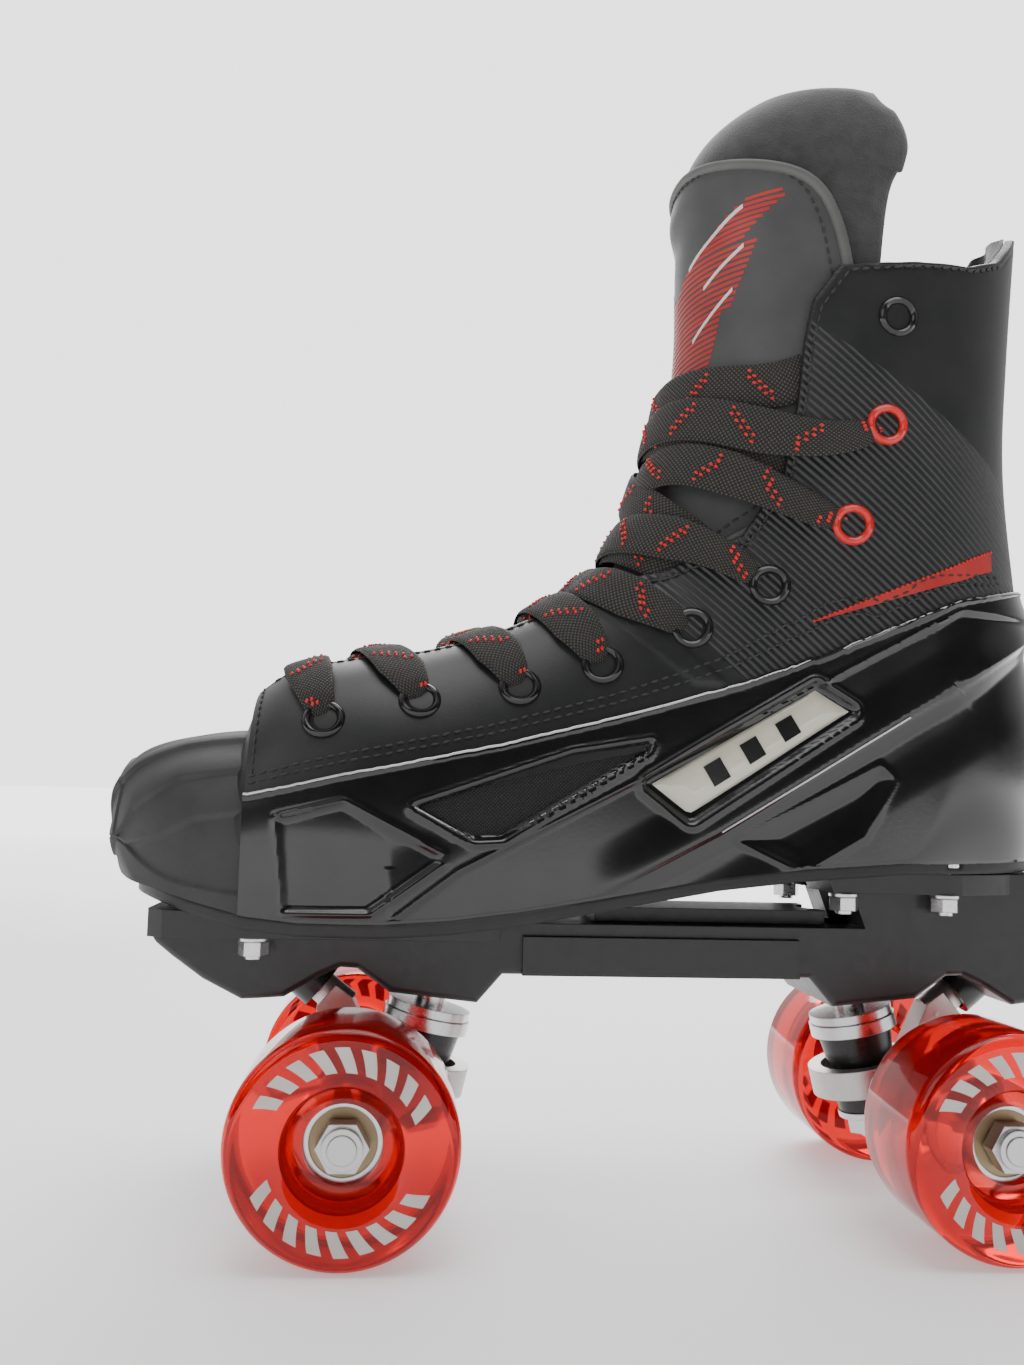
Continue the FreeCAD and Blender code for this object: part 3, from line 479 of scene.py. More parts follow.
def clear_red(name, colour, rough, **sockets):
    """Clear tinted urethane, with a slight haze."""
    material, tree, shader = new_material(name, colour, rough, Transmission_Weight=0.82, IOR=1.42, **sockets)
    vector = coordinates(tree)
    rough_varied(tree, shader, vector, 160, rough, rough * 2)
    bump(tree, shader, noise(tree, vector, 300), 0.2, 0.00003)
    return material


CAP_SKIN = grained("cap_skin", (0.030, 0.030, 0.031), (0.045, 0.045, 0.045), 0.55, 0.68, 1800, 0.00007)
SHELL = grained("shell_gloss", (0.006, 0.006, 0.0065), (0.010, 0.010, 0.0105), 0.17, 0.26, 700, 0.000012,
                Coat_Weight=0.35, Coat_Roughness=0.12)
SOLE_SKIN = grained("sole_skin", (0.013, 0.013, 0.013), (0.02, 0.02, 0.02), 0.42, 0.55, 900, 0.00005,
                    edge=0.0018)
PLATE = metal("chassis_black", (0.012, 0.012, 0.013), 0.36, 500, 0.0, 0.00002, Specular_IOR_Level=0.6)
TONGUE_SKIN = grained("tongue_leather", (0.045, 0.045, 0.046), (0.062, 0.062, 0.062), 0.48, 0.6, 1500,
                      0.00004)
FELT = felted("grey_felt", (0.018, 0.018, 0.019), (0.034, 0.034, 0.036), 0.0003)
LINING = felted("velvet_lining", (0.016, 0.016, 0.017), (0.028, 0.028, 0.03), 0.0002)
LACE = woven("lace_weave", (0.012, 0.011, 0.010), (0.085, 0.078, 0.066), 0.0011, 0.0004, kind="UV")
MESH = woven("window_mesh", (0.006, 0.006, 0.006), (0.035, 0.035, 0.036), 0.0008, 0.0002)
FOOTBED = woven("footbed_cloth", (0.03, 0.03, 0.03), (0.07, 0.07, 0.07), 0.0016, 0.0002)
WELT_SKIN = grained("welt_leather", (0.075, 0.075, 0.073), (0.10, 0.10, 0.097), 0.5, 0.62, 1500, 0.00004)
THREAD = woven("thread", (0.02, 0.02, 0.02), (0.06, 0.058, 0.055), 0.0004, 0.0001, rough=0.7)
RED_THREAD = woven("red_thread", (0.55, 0.01, 0.008), (0.85, 0.03, 0.02), 0.0005, 0.0001, rough=0.6)
RED_PRINT = grained("red_print", (0.36, 0.012, 0.012), (0.46, 0.03, 0.025), 0.45, 0.55, 1500, 0.00003)
PALE_PRINT = grained("pale_print", (0.62, 0.58, 0.55), (0.72, 0.68, 0.64), 0.45, 0.55, 900, 0.00003)
# bright silver for the tubes that paint the highlight on the shell's glossy upward edges
EDGE_HIGHLIGHT_METAL = metal("painted_edge_highlight", (0.62, 0.62, 0.63), 0.28, 600)
BADGE_FACE = grained("badge_dome", (0.56, 0.54, 0.43), (0.68, 0.66, 0.55), 0.1, 0.16, 500, 0.00001,
                     Coat_Weight=0.6)
# near-black, darker than any other material here: painted shade for the dark inside of the eyelet holes
EYELET_HOLE_SHADE = grained("eyelet_hole_shade", (0.002, 0.002, 0.002), (0.004, 0.004, 0.004), 0.8, 0.9, 900, 0.00002)
BLACK_GLOSS = grained("black_gloss", (0.008, 0.008, 0.008), (0.012, 0.012, 0.012), 0.13, 0.2, 900, 0.00001)
RED_GLOSS = grained("red_gloss", (0.55, 0.012, 0.01), (0.65, 0.02, 0.015), 0.15, 0.22, 900, 0.00001)
STEEL = metal("bright_zinc", (0.68, 0.68, 0.69), 0.24, 700)
AXLE_STEEL = metal("axle_steel", (0.60, 0.60, 0.60), 0.3, 900)
CAST = metal("cast_aluminium", (0.60, 0.59, 0.57), 0.42, 420, depth=0.00012)
CUSHION = grained("cushion_rubber", (0.010, 0.010, 0.010), (0.016, 0.016, 0.016), 0.22, 0.32, 700, 0.00002)
SHIELD = metal("shield_tan", (0.46, 0.36, 0.2), 0.4, 800, 0.35)
RED_URETHANE = clear_red("red_urethane", (0.78, 0.006, 0.005), 0.05)
RED_HUB = clear_red("red_hub", (0.88, 0.05, 0.04), 0.08)

NODE_MATERIALS = {"chassis": PLATE, "outsole": SOLE_SKIN, "pivot_cups": CUSHION}


def node_material(node):
    if node in NODE_MATERIALS:
        return NODE_MATERIALS[node]
    if "cushion" in node:
        return CUSHION
    if node.startswith("hanger"):
        return CAST
    if node.endswith("shields"):
        return SHIELD
    return AXLE_STEEL if node.startswith("axle_") else STEEL


def finish_cad_nodes():
    for node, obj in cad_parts.items():
        obj.data.materials.clear()
        obj.data.materials.append(node_material(node))
        for polygon in obj.data.polygons:
            polygon.use_smooth = True
        obj.data.set_sharp_from_angle(angle=math.radians(32))


# ---- boot pieces --------------------------------------------------------------------------------
def row_grid(p, u_low, u_high, columns):
    """Places of a patch whose rows run from u_low(p) to u_high(p)."""
    t = edge_spread(columns)
    u = u_low[:, None] + (u_high - u_low)[:, None] * t[None, :]
    return np.repeat(p[:, None], columns, 1), u


def arc_lengths(table, p, u):
    """Distance along each row from its start."""
    at = surface(table, p, u, -1)
    steps = np.linalg.norm(np.diff(at, axis=1), axis=-1)
    return np.concatenate([np.zeros((len(at), 1)), np.cumsum(steps, 1)], 1)


def quarter_part(side):
    """One side of the upper, from the facing's edge to below the shell's top line."""
    p = np.concatenate([np.linspace(0.4, 11.5, 190), np.linspace(11.53, 15.7, 130)])
    low = front_edge(p)
    keep = low < 0.985
    p, low = p[keep], low[keep]
    high = np.minimum(trim_edge(p) + 0.05, 1.0)
    grid_p, grid_u = row_grid(p, low, high, 70)
    length = arc_lengths(BOOT, grid_p, grid_u)
    lift = 0.2 + round_over(length, 1.3)
    # a shallow pressed line inside the edge
    lift -= 0.35 * np.exp(-((length - 3.4) / 0.6) ** 2)
    at = surface(BOOT, grid_p, grid_u, side, lift)
    ridge = np.zeros_like(lift)
    for offset in (0, 2.6, 5.2, 7.8):
        line = [(-4 + offset, 191), (28.7 + offset, 165.3)]
        distance = polygon_distance(at[..., 0], at[..., 2], line, closed=False)
        ridge += 0.5 * np.exp(-(distance / 0.55) ** 2)
    return sheet(BOOT, grid_p, grid_u, side, lift + ridge, -WALL)


def wrapped(table, p, way, lift):
    """Points of a lofted surface: way is the signed place round its section from the front."""
    left, right = (surface(table, p, np.abs(way), side, lift) for side in (-1, 1))
    return np.where((way < 0)[..., None], left, right)


def bridge_part():
    """The bar that joins the two facings at the toe end."""
    p = np.linspace(0.4, 0.86, 14)
    way = front_edge(p)[:, None] * np.linspace(-1, 1, 25)[None, :]
    return shell_mesh(wrapped(BOOT, p[:, None], way, 0.15), wrapped(BOOT, p[:, None], way, -WALL))


def ribbed_leather():
    """Leather pressed with fine slanted ribs over the ankle, smooth near the toe and round the top eyelet."""
    material, tree, shader = new_material("ribbed_leather", (0.012, 0.012, 0.013), 0.42)
    vector = coordinates(tree)
    varied(tree, shader, vector, 60, (0.010, 0.0105, 0.011), (0.018, 0.018, 0.019))
    ribs = wave(tree, coordinates(tree, turn=(0, math.radians(-42), 0)), WAVE_PITCH / 0.0021, "Z")
    place = add_node(tree, "SeparateXYZ", {}, Vector=coordinates(tree)).outputs
    # the ribs lie between two slanted lines over the side view
    toe_line = math_node(tree, "ADD", place["X"], math_node(tree, "MULTIPLY", place["Z"], 1.25))
    top_line = math_node(tree, "ADD", place["Z"], math_node(tree, "MULTIPLY", place["X"], 0.65))
    mask = math_node(tree, "MULTIPLY", math_node(tree, "GREATER_THAN", toe_line, 0.252),
                     math_node(tree, "LESS_THAN", top_line, 0.324))
    grain = math_node(tree, "MULTIPLY", noise(tree, vector, 1600), 0.12)
    bump(tree, shader, math_node(tree, "ADD", math_node(tree, "MULTIPLY", ribs, mask), grain), 0.75, 0.0005)
    return material


def vamp_part():
    """The leather front wall between the toe cap's rear edge and the bridge."""
    u = np.linspace(0, 0.5, 40)
    way = np.concatenate([-u[::-1], u[1:]])
    walls = []
    for lift in (-0.4, -WALL):
        top, low = wrapped(BOOT, 0.42, way, lift), wrapped(CAP, 6.2, way, lift - 0.4)
        walls.append(np.array([low + (top - low) * t for t in np.linspace(0, 1, 9)]))
    return shell_mesh(*walls)


def build_upper():
    parts = join_parts([quarter_part(-1), quarter_part(1), bridge_part(), vamp_part()])
    piece = add_mesh("upper_leather", *parts, ribbed_leather(), "leather")
    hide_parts("upper")


def shell_relief(x, z):
    """The shell's moulded relief over its side view."""
    relief = np.zeros_like(x)
    hexagon = polygon_distance(x, z, HEXAGON)
    relief += 0.8 * np.exp(-((hexagon - 0.6) / 0.9) ** 2) - 0.8 * soft_step(0.4, -1.8, hexagon)
    window = polygon_distance(x, z, WINDOW)
    relief += 0.7 * np.exp(-((window - 1.2) / 0.9) ** 2) - 2.3 * soft_step(0.3, -1.2, window)
    badge = polygon_distance(x, z, BADGE)
    relief += 0.9 * np.exp(-((badge - 3.6) / 1.0) ** 2) - 1.2 * soft_step(2.6, 1.2, badge)
    facet = polygon_distance(x, z, HEEL_FACET)
    relief += 0.5 * np.exp(-((facet - 0.8) / 0.9) ** 2) - 1.6 * soft_step(0.6, -6.0, facet)
    long_crease = polygon_distance(x, z, LONG_CREASE, closed=False)
    above_long = z - line_height(LONG_CREASE, x)
    relief += 0.9 * soft_step(-1.2, 0.6, above_long) * soft_step(22, 3, above_long) * (x > -64)
    relief += 0.4 * np.exp(-(long_crease / 0.8) ** 2)
    above_heel = z - line_height(HEEL_CREASE, x)
    relief += 1.7 * soft_step(-1.5, 0.8, above_heel) * soft_step(16, 1.5, above_heel) * soft_step(-8, 20, x)
    below_heel = soft_step(-1.0, -7.0, above_heel) * soft_step(-26.0, -10.0, above_heel)
    return relief - 1.2 * below_heel * soft_step(-8, 26, x)


def side_part(side):
    p = np.concatenate([np.linspace(0.4, 10, 250), np.linspace(10.04, 14.2, 90)])
    low, high = trim_edge(p), sole_edge(p)
    keep = low < 0.985
    p, low, high = p[keep], low[keep], high[keep]
    grid_p, grid_u = row_grid(p, low, high, 100)
    length = arc_lengths(BOOT, grid_p, grid_u)
    flat = surface(BOOT, grid_p, grid_u, side)
    lift = 1.3 + round_over(length, 0.9) + 0.5 * np.exp(-((length - 1.0) / 0.7) ** 2)
    lift += shell_relief(flat[..., 0], flat[..., 2])
    lift = np.where((length[:, -1:] - length) < 1.0, np.minimum(lift, 1.2), lift)
    return sheet(BOOT, grid_p, grid_u, side, lift, -WALL + 0.2)


def build_side_shell():
    piece = add_mesh("side_shell_moulded", *join_parts([side_part(-1), side_part(1)]), SHELL, "shell")
    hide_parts("side_shell")


def tube(path, radius, sides=8):
    """A round tube along points, with closed ends."""
    path = np.asarray(path, float)
    tangent = np.gradient(path, axis=0)
    tangent /= np.maximum(np.linalg.norm(tangent, axis=1, keepdims=True), 1e-9)
    rows = []
    side = np.cross(tangent[0], (0, 1, 0.3))
    for at, along in zip(path, tangent):
        side = side - along * np.dot(side, along)
        side = side / np.linalg.norm(side)
        other = np.cross(along, side)
        rows.append([at + radius * (side * math.cos(a) + other * math.sin(a))
                     for a in (2 * math.pi * k / sides for k in range(sides))])
    faces = grid_faces(len(rows), sides, wrap=True)
    faces += [list(range(sides))[::-1], [(len(rows) - 1) * sides + k for k in range(sides)]]
    return np.array(rows).reshape(-1, 3), faces


def build_painted_edge_highlights():
    """Thin bright silver tubes along the shell's top, round the window and on the heel crease: a painted
    highlight for the light that the shell's glossy upward edges catch.
    """
    parts = []
    for side in (-1, 1):
        p = np.linspace(0.42, 12.9, 150)
        parts.append(tube(surface(BOOT, p, trim_edge(p) + 0.002, side, 1.6), 0.42))
        for line, lift in ((WINDOW[:4], 1.15), (HEEL_CREASE[2:5], 2.9)):
            xs, zs = zip(*line)
            steps = np.linspace(0, len(line) - 1, 40)
            q, u = locate(np.interp(steps, range(len(line)), xs), np.interp(steps, range(len(line)), zs))
            parts.append(tube(surface(BOOT, q, u, side, lift), 0.32))
    add_mesh("shell_painted_edge_highlights", *join_parts(parts), EDGE_HIGHLIGHT_METAL, "steel")


def build_window_mesh():
    parts = []
    xs, zs = zip(*WINDOW)
    grid_x, grid_z = np.meshgrid(np.linspace(min(xs), max(xs), 70), np.linspace(min(zs), max(zs), 34))
    place_p, place_u = locate(grid_x, grid_z)
    inside = polygon_distance(grid_x, grid_z, WINDOW) < 0.4
    for side in (-1, 1):
        at = surface(BOOT, place_p, place_u, side, 0.0)
        faces = [f for f in grid_faces(*grid_x.shape) if all(inside.ravel()[i] for i in f)]
        used = sorted({i for f in faces for i in f})
        index = {i: k for k, i in enumerate(used)}
        parts.append((at.reshape(-1, 3)[used], [[index[i] for i in f] for f in faces]))
    piece = add_mesh("window_mesh_cloth", *join_parts(parts), MESH, "mesh")
    solid = piece.modifiers.new("thick", "SOLIDIFY")
    solid.thickness = 0.4 * MM
    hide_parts("vent_mesh")


def badge_place(s, t):
    """A point of the badge, s along it and t across, both 0 to 1."""
    a, b, c, d = (np.array(q, float) for q in BADGE)
    low, high = b + (c - b) * s, a + (d - a) * s
    return low + (high - low) * t


def build_badges():
    """A domed oval-edged insert with three plain slanted bars on each side of the shell."""
    domes, bars = [], []
    s_values, t_values = np.linspace(0.0, 1.0, 40), np.linspace(0.0, 1.0, 16)
    for side in (-1, 1):
        grid = np.array([[locate(*badge_place(s, t)) for t in t_values] for s in s_values])
        height = np.array([[1.9 * min(1, (min(s, 1 - s) * 12)) ** 0.5 * min(1, min(t, 1 - t) * 3.2) ** 0.5
                            for t in t_values] for s in s_values])
        domes.append(sheet(BOOT, grid[..., 0], grid[..., 1], side, 0.4 + height, -0.4))
        for start in (0.2, 0.42, 0.64):
            places = np.array([[locate(*badge_place(start + 0.1 * a + 0.05 * t, 0.24 + 0.52 * t))
                                for t in np.linspace(0, 1, 8)] for a in np.linspace(0, 1, 5)])
            bars.append(sheet(BOOT, places[..., 0], places[..., 1], side, 2.6, 2.0))
    piece = add_mesh("badge_domes", *join_parts(domes), BADGE_FACE, "badge")
    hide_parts("side_badges")
    add_mesh("badge_bars", *join_parts(bars), BLACK_GLOSS, "shell")


def cap_relief(p, u):
    """Stepped ribs that sweep round the cap down to its nose, and a leaf-shaped facet below them."""
    upper = np.interp(p, (1, 2, 3.5, 5, 7), (0.50, 0.37, 0.27, 0.20, 0.176))
    lower = np.interp(p, (1.4, 2, 3.5, 5, 7), (0.80, 0.66, 0.45, 0.335, 0.29))
    leaf_top = np.interp(p, (3.2, 4.5, 5.5, 7), (0.61, 0.50, 0.435, 0.394))
    leaf_low = np.interp(p, (3.2, 4.5, 7), (0.63, 0.67, 0.70))
    relief = 1.3 * soft_step(upper - 0.09, upper - 0.01, u) * (1 - soft_step(upper, upper + 0.012, u))
    relief += 1.3 * soft_step(upper + 0.03, lower - 0.01, u) * (1 - soft_step(lower, lower + 0.012, u))
    inside = soft_step(leaf_top, leaf_top + 0.014, u) * (1 - soft_step(leaf_low - 0.014, leaf_low, u))
    relief += 0.7 * soft_step(lower + 0.02, leaf_top, u) * (1 - inside)
    return relief - 0.5 * inside * soft_step(3.1, 3.6, p)


def build_toe_cap():
    p = np.concatenate([np.linspace(0, 1, 12)[:-1], np.linspace(1, 6.4, 110)])
    u = np.linspace(0, 1, 190)
    grid_p, grid_u = np.meshgrid(p, u, indexing="ij")
    fade = soft_step(0.6, 2.2, grid_p)
    parts = []
    for side in (-1, 1):
        lift = cap_relief(grid_p, grid_u) * fade
        outer = surface(CAP, grid_p, grid_u, side, lift)
        inner = surface(CAP, grid_p, grid_u, side, -WALL)
        sole = line_height(SOLE_LINE, outer[..., 0]) + SOLE
        outer[..., 2] = np.maximum(outer[..., 2], sole)
        inner[..., 2] = np.maximum(inner[..., 2], sole)
        nose = np.array([-BOOT_HALF, 3.0, 117.5])
        outer[0] = nose + (outer[0] - nose) * 0.02
        inner[0] = nose + np.array([WALL, 0, 0]) + (inner[0] - nose) * 0.02
        parts.append(shell_mesh(outer, inner))
    piece = add_mesh("toe_cap_moulded", *join_parts(parts), CAP_SKIN, "toe_cap")
    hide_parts("toe_cap")


def build_lining():
    parts = []
    for side in (-1, 1):
        p = np.concatenate([np.linspace(1.2, 11.5, 110), np.linspace(11.55, 15.7, 90)])
        low = np.maximum(front_edge(p), 0.30)
        keep = low < 0.985
        p, low = p[keep], low[keep]
        high = np.minimum(sole_edge(p), 1.0)
        grid_p, grid_u = row_grid(p, low, high, 40)
        length = arc_lengths(BOOT, grid_p, grid_u)
        puff = 1.0 * np.sin(length / 9.0) ** 2
        swell = 1.8 * np.exp(-((length - 7) / 5.0) ** 2)
        inner = -WALL - 3.6 - puff * 0.4 - swell + 2.6 * np.exp(-(length / 1.6) ** 2)
        parts.append(sheet(BOOT, grid_p, grid_u, side, -WALL - 0.3, inner))
    piece = add_mesh("velvet_lining", *join_parts(parts), LINING, "lining")
    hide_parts("lining")


def tongue_rows():
    """Stations of the tongue, from the toe end in the boot to the free top, and how far it wraps at each."""
    rows, turns = [], []
    for k in range(TONGUE_STEPS):
        position = 0.95 + 0.75 * k
        rows.append([*smooth_rows(BOOT, np.array([position]))[0][:7], 0.0])
        turns.append(wrap_turn(np.interp(position, range(len(TONGUE_REACH)), TONGUE_REACH)))
    for (tx, tz), turn, depth, half, reach in TONGUE_TOP:
        angle = math.radians(turn)
        back_x, back_z = tx + depth * math.cos(angle), tz - depth * math.sin(angle)
        rows.append([tx - WALL, tz, back_x, back_z, half, 0, 0.5, 0.0])
        turns.append(wrap_turn(reach))
    return np.array(rows), np.array(turns)


def wrap_turn(reach):
    """The turn round the front, 1 at its end, that gets that far back."""
    if reach >= 1:
        return reach
    return 2 / math.pi * math.asin((1 - (1 - reach) ** POWER) ** (1 / POWER))


TONGUE, WRAP = tongue_rows()
TONGUE_END = len(TONGUE) - 1


def tongue_points(p, turn, lift):
    """Points of the tongue: turn is the signed way round it from the middle, 1 where the rounding ends."""
    return wrapped(TONGUE, p, 0.5 * turn, lift)


def wrap_at(p):
    """The turn the felt wraps there, averaged over neighbouring stations so that its edge curves."""
    offsets = np.linspace(-1.2, 1.2, 13)
    near = np.clip(p[:, None] + offsets[None, :], 0, TONGUE_END)
    return np.interp(near, range(TONGUE_END + 1), WRAP).mean(axis=1)


def panel_reach(p):
    """How far round the leather panel goes: an arch at its top."""
    over = ((p - PANEL_SHOULDER) / (PANEL_TOP - PANEL_SHOULDER)).clip(0, 1)
    return 0.93 * wrap_at(np.minimum(p, PANEL_SHOULDER)) * (1 - over ** 2.2) ** (1 / 2.2)


def build_tongue():
    p = np.linspace(0.2, TONGUE_END, 220)
    t = edge_spread(81) * 2 - 1
    grid_p = np.repeat(p[:, None], len(t), 1)
    turn = wrap_at(p)[:, None] * t[None, :]
    edge = np.minimum(1 - np.abs(t)[None, :], 0.12) / 0.12 * np.ones_like(turn)
    top_edge = np.clip((TONGUE_END - grid_p) / 0.6, 0, 1)
    swell = (edge * top_edge) ** 0.5
    outer = tongue_points(grid_p, turn, -WALL - 5.0 + 2.4 * swell)
    inner = tongue_points(grid_p, turn, -WALL - 5.2 - 2.8 * swell)
    felt = add_mesh("tongue_felt_pad", *shell_mesh(outer, inner), FELT, "felt")
    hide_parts("tongue_felt")

    p = np.concatenate([np.linspace(0.2, PANEL_SHOULDER, 170), over_shoulder(np.linspace(0.02, 1.56, 60))])
    turn = panel_reach(p)[:, None] * t[None, :]
    grid_p = np.repeat(p[:, None], len(t), 1)
    outer = tongue_points(grid_p, turn, PANEL_LIFT)
    inner = tongue_points(grid_p, turn, -WALL - 2.6)
    panel = add_mesh("tongue_leather_panel", *shell_mesh(outer, inner), TONGUE_SKIN, "leather")
    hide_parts("tongue_panel")
    build_tongue_seam()
    build_tongue_print()


def over_shoulder(angles):
    """Stations from the panel's shoulder to its top, closer together near the top."""
    return PANEL_SHOULDER + (PANEL_TOP - PANEL_SHOULDER) * np.sin(angles)


def seam_path(inside):
    """Up one edge of the panel and down the other, that share of its reach inside the edge."""
    p = np.concatenate([np.linspace(8, PANEL_SHOULDER, 60), over_shoulder(np.linspace(0, np.pi / 2, 80))])
    reach = panel_reach(p) * (1 - inside)
    p = np.minimum(p, PANEL_TOP - inside * 4)
    return np.concatenate([p, p[::-1]]), np.concatenate([-reach, reach[::-1]])


def build_tongue_seam():
    p, turn = seam_path(0.0)
    welt = tongue_points(p, turn, -WALL - 1.2)
    add_mesh("tongue_welt", *tube(welt, 1.9, 10), WELT_SKIN, "leather")
    p, turn = seam_path(0.06)
    line = tongue_points(p, turn, -WALL - 0.8)
    add_mesh("tongue_stitches", *stitches(line), THREAD, "leather")


def tongue_place(z, turn):
    """The station where the tongue's panel is at that height."""
    low, high = np.full_like(z, 6.0), np.full_like(z, TONGUE_END)
    for _ in range(22):
        middle = (low + high) / 2
        below = tongue_points(middle, turn, PANEL_LIFT)[..., 2] < z
        low, high = np.where(below, middle, low), np.where(below, high, middle)
    return low


def tongue_strip(start, stop, height, lift, columns=24):
    """A thin raised strip on the panel between two (turn, height) points."""
    t = np.linspace(0, 1, columns)
    turn = start[0] + (stop[0] - start[0]) * t
    middle = start[1] + (stop[1] - start[1]) * t
    edges = [tongue_place(middle + offset, turn) for offset in (-height / 2, height / 2)]
    outer, inner = (np.array([tongue_points(p, turn, at) for p in edges])
                    for at in (PANEL_LIFT + lift, -WALL - 1.2))
    return shell_mesh(outer, inner)


def build_tongue_print():
    """Fine red stripes in three stepped blocks, and three pale slashes, alike on both sides."""
    red, pale = [], []
    heights, limits = (268, 291, 291.5, 313, 313.5, 326, 331), (0.36, 0.44, 0.49, 0.63, 0.56, 0.74, 0.72)
    for height in np.arange(262, 330, 2.0):
        far = float(np.interp(height, heights, limits))
        near = float(np.interp(height, (306, 331), (0.0, 0.66)))
        for side in (-1, 1):
            red.append(tongue_strip((side * near, height - 5 * (1 - near)), (side * far, height), 1.1, 0.12))
    for near, low, far, high in ((0.2, 309, 0.57, 324), (0.33, 300, 0.56, 311), (0.25, 283, 0.5, 297)):
        for side in (-1, 1):
            pale.append(tongue_strip((side * near, low), (side * far, high), 1.3, 0.3, 12))
    add_mesh("tongue_red_stripes", *join_parts(red), RED_PRINT, "leather")
    add_mesh("tongue_pale_slashes", *join_parts(pale), PALE_PRINT, "leather")


def stitches(line, length=2.4, gap=1.1, radius=0.42):
    """Separate raised stitches along a line of points, narrow at both ends."""
    steps = np.concatenate([[0], np.cumsum(np.linalg.norm(np.diff(line, axis=0), axis=1))])
    parts = []
    start = 0.0
    while start + length < steps[-1]:
        stops = start + length * np.array([0, 0.25, 0.5, 0.75, 1.0])
        path = np.stack([np.interp(stops, steps, line[:, k]) for k in range(3)], 1)
        points, faces = tube(path, radius, 6)
        rings = points.reshape(5, 6, 3)
        for row in (0, 4):
            rings[row] = rings[row].mean(0) + (rings[row] - rings[row].mean(0)) * 0.35
        parts.append((points, faces))
        start += length + gap
    return join_parts(parts)


def inside_edge(p, edge, distance):
    """Places that far inside a patch's edge, measured on the surface."""
    step = np.linspace(0, 0.25, 80)
    grid_p, grid_u = np.repeat(p[:, None], 80, 1), np.minimum(edge[:, None] + step[None, :], 1.0)
    length = arc_lengths(BOOT, grid_p, grid_u)
    return np.array([np.interp(distance, row, places) for row, places in zip(length, grid_u)])


def build_stitching():
    """Stitch lines along the facings' edges, the collar and the shell's top line."""
    parts = []
    for side in (-1, 1):
        p = np.concatenate([np.linspace(0.7, 11.5, 170), np.linspace(11.53, 15.4, 150)])
        edge = front_edge(p)
        keep = edge < 0.93
        u = inside_edge(p[keep], edge[keep], 3.6)
        parts.append(stitches(surface(BOOT, p[keep], u, side, 0.3)))
        p = np.linspace(0.45, 12.6, 200)
        for offset in (0.02, 0.033):
            u = np.maximum(trim_edge(p) - offset, 0.02)
            parts.append(stitches(surface(BOOT, p, u, side, 0.35)))
        p, u = np.full(30, 0.52), np.linspace(front_edge([0.52])[0] + 0.02, trim_edge([0.52])[0] - 0.03, 30)
        parts.append(stitches(surface(BOOT, p, u, side, 0.35)))
    add_mesh("upper_stitches", *join_parts(parts), THREAD, "leather")


def build_red_wedge():
    """The thin red wedge behind the eyelets, with a dotted upper edge."""
    parts, dots = [], []
    for side in (-1, 1):
        grid = np.array([[locate(65 + 62 * s, z) for z in np.linspace(185.2 + 19.5 * s, 185.4 + 26 * s, 5)]
                         for s in np.linspace(0, 1, 24)])
        parts.append(sheet(BOOT, grid[..., 0], grid[..., 1], side, 0.5, 0.0))
        dots.append(stitches(surface(BOOT, grid[:, -1, 0], grid[:, -1, 1], side, 0.6), 0.9, 0.9, 0.45))
    add_mesh("red_wedge", *join_parts(parts), RED_PRINT, "leather")
    add_mesh("red_wedge_dots", *join_parts(dots), RED_THREAD, "leather")


def eyelet_frame(x, z, side):
    p, u = locate(x, z)
    centre, outside = (surface(BOOT, p, u, side, h) for h in (0.0, 1.0))
    return Vector(centre), (Vector(outside) - Vector(centre)).normalized()


def build_eyelets():
    black, red, hole_shades = [], [], []
    hole = EYELET_HOLE
    ring = [(hole, -2.6), (hole, 0.4), (hole + 0.5, 1.15), (hole + 1.3, 1.5), (EYELET_R - 0.7, 1.2),
            (EYELET_R, 0.5), (EYELET_R, 0.2), (hole + 0.6, 0.1), (hole + 0.5, -2.6)]
    # a near-black disk sunk in each eyelet's hole, painted shade where the hole is dark
    hole_shade_disk = [(0.01, -0.6), (hole + 0.1, 0.22), (hole + 0.1, -1.2), (0.01, -1.4)]
    for k, (x, z) in enumerate(EYELETS):
        for side in (-1, 1):
            centre, normal = eyelet_frame(x, z, side)
            (red if k in RED_EYELETS else black).append(turned(ring, centre, normal, 40))
            hole_shades.append(turned(hole_shade_disk, centre, normal, 24))
    piece = add_mesh("eyelets_black", *join_parts(black), BLACK_GLOSS, "eyelet")
    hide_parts("eyelets")
    add_mesh("eyelets_red", *join_parts(red), RED_GLOSS, "eyelet")
    add_mesh("eyelet_hole_shades", *join_parts(hole_shades), EYELET_HOLE_SHADE, "eyelet")


# ---- lace ---------------------------------------------------------------------------------------
def unit_rows(vectors):
    return vectors / np.linalg.norm(vectors, axis=1, keepdims=True)


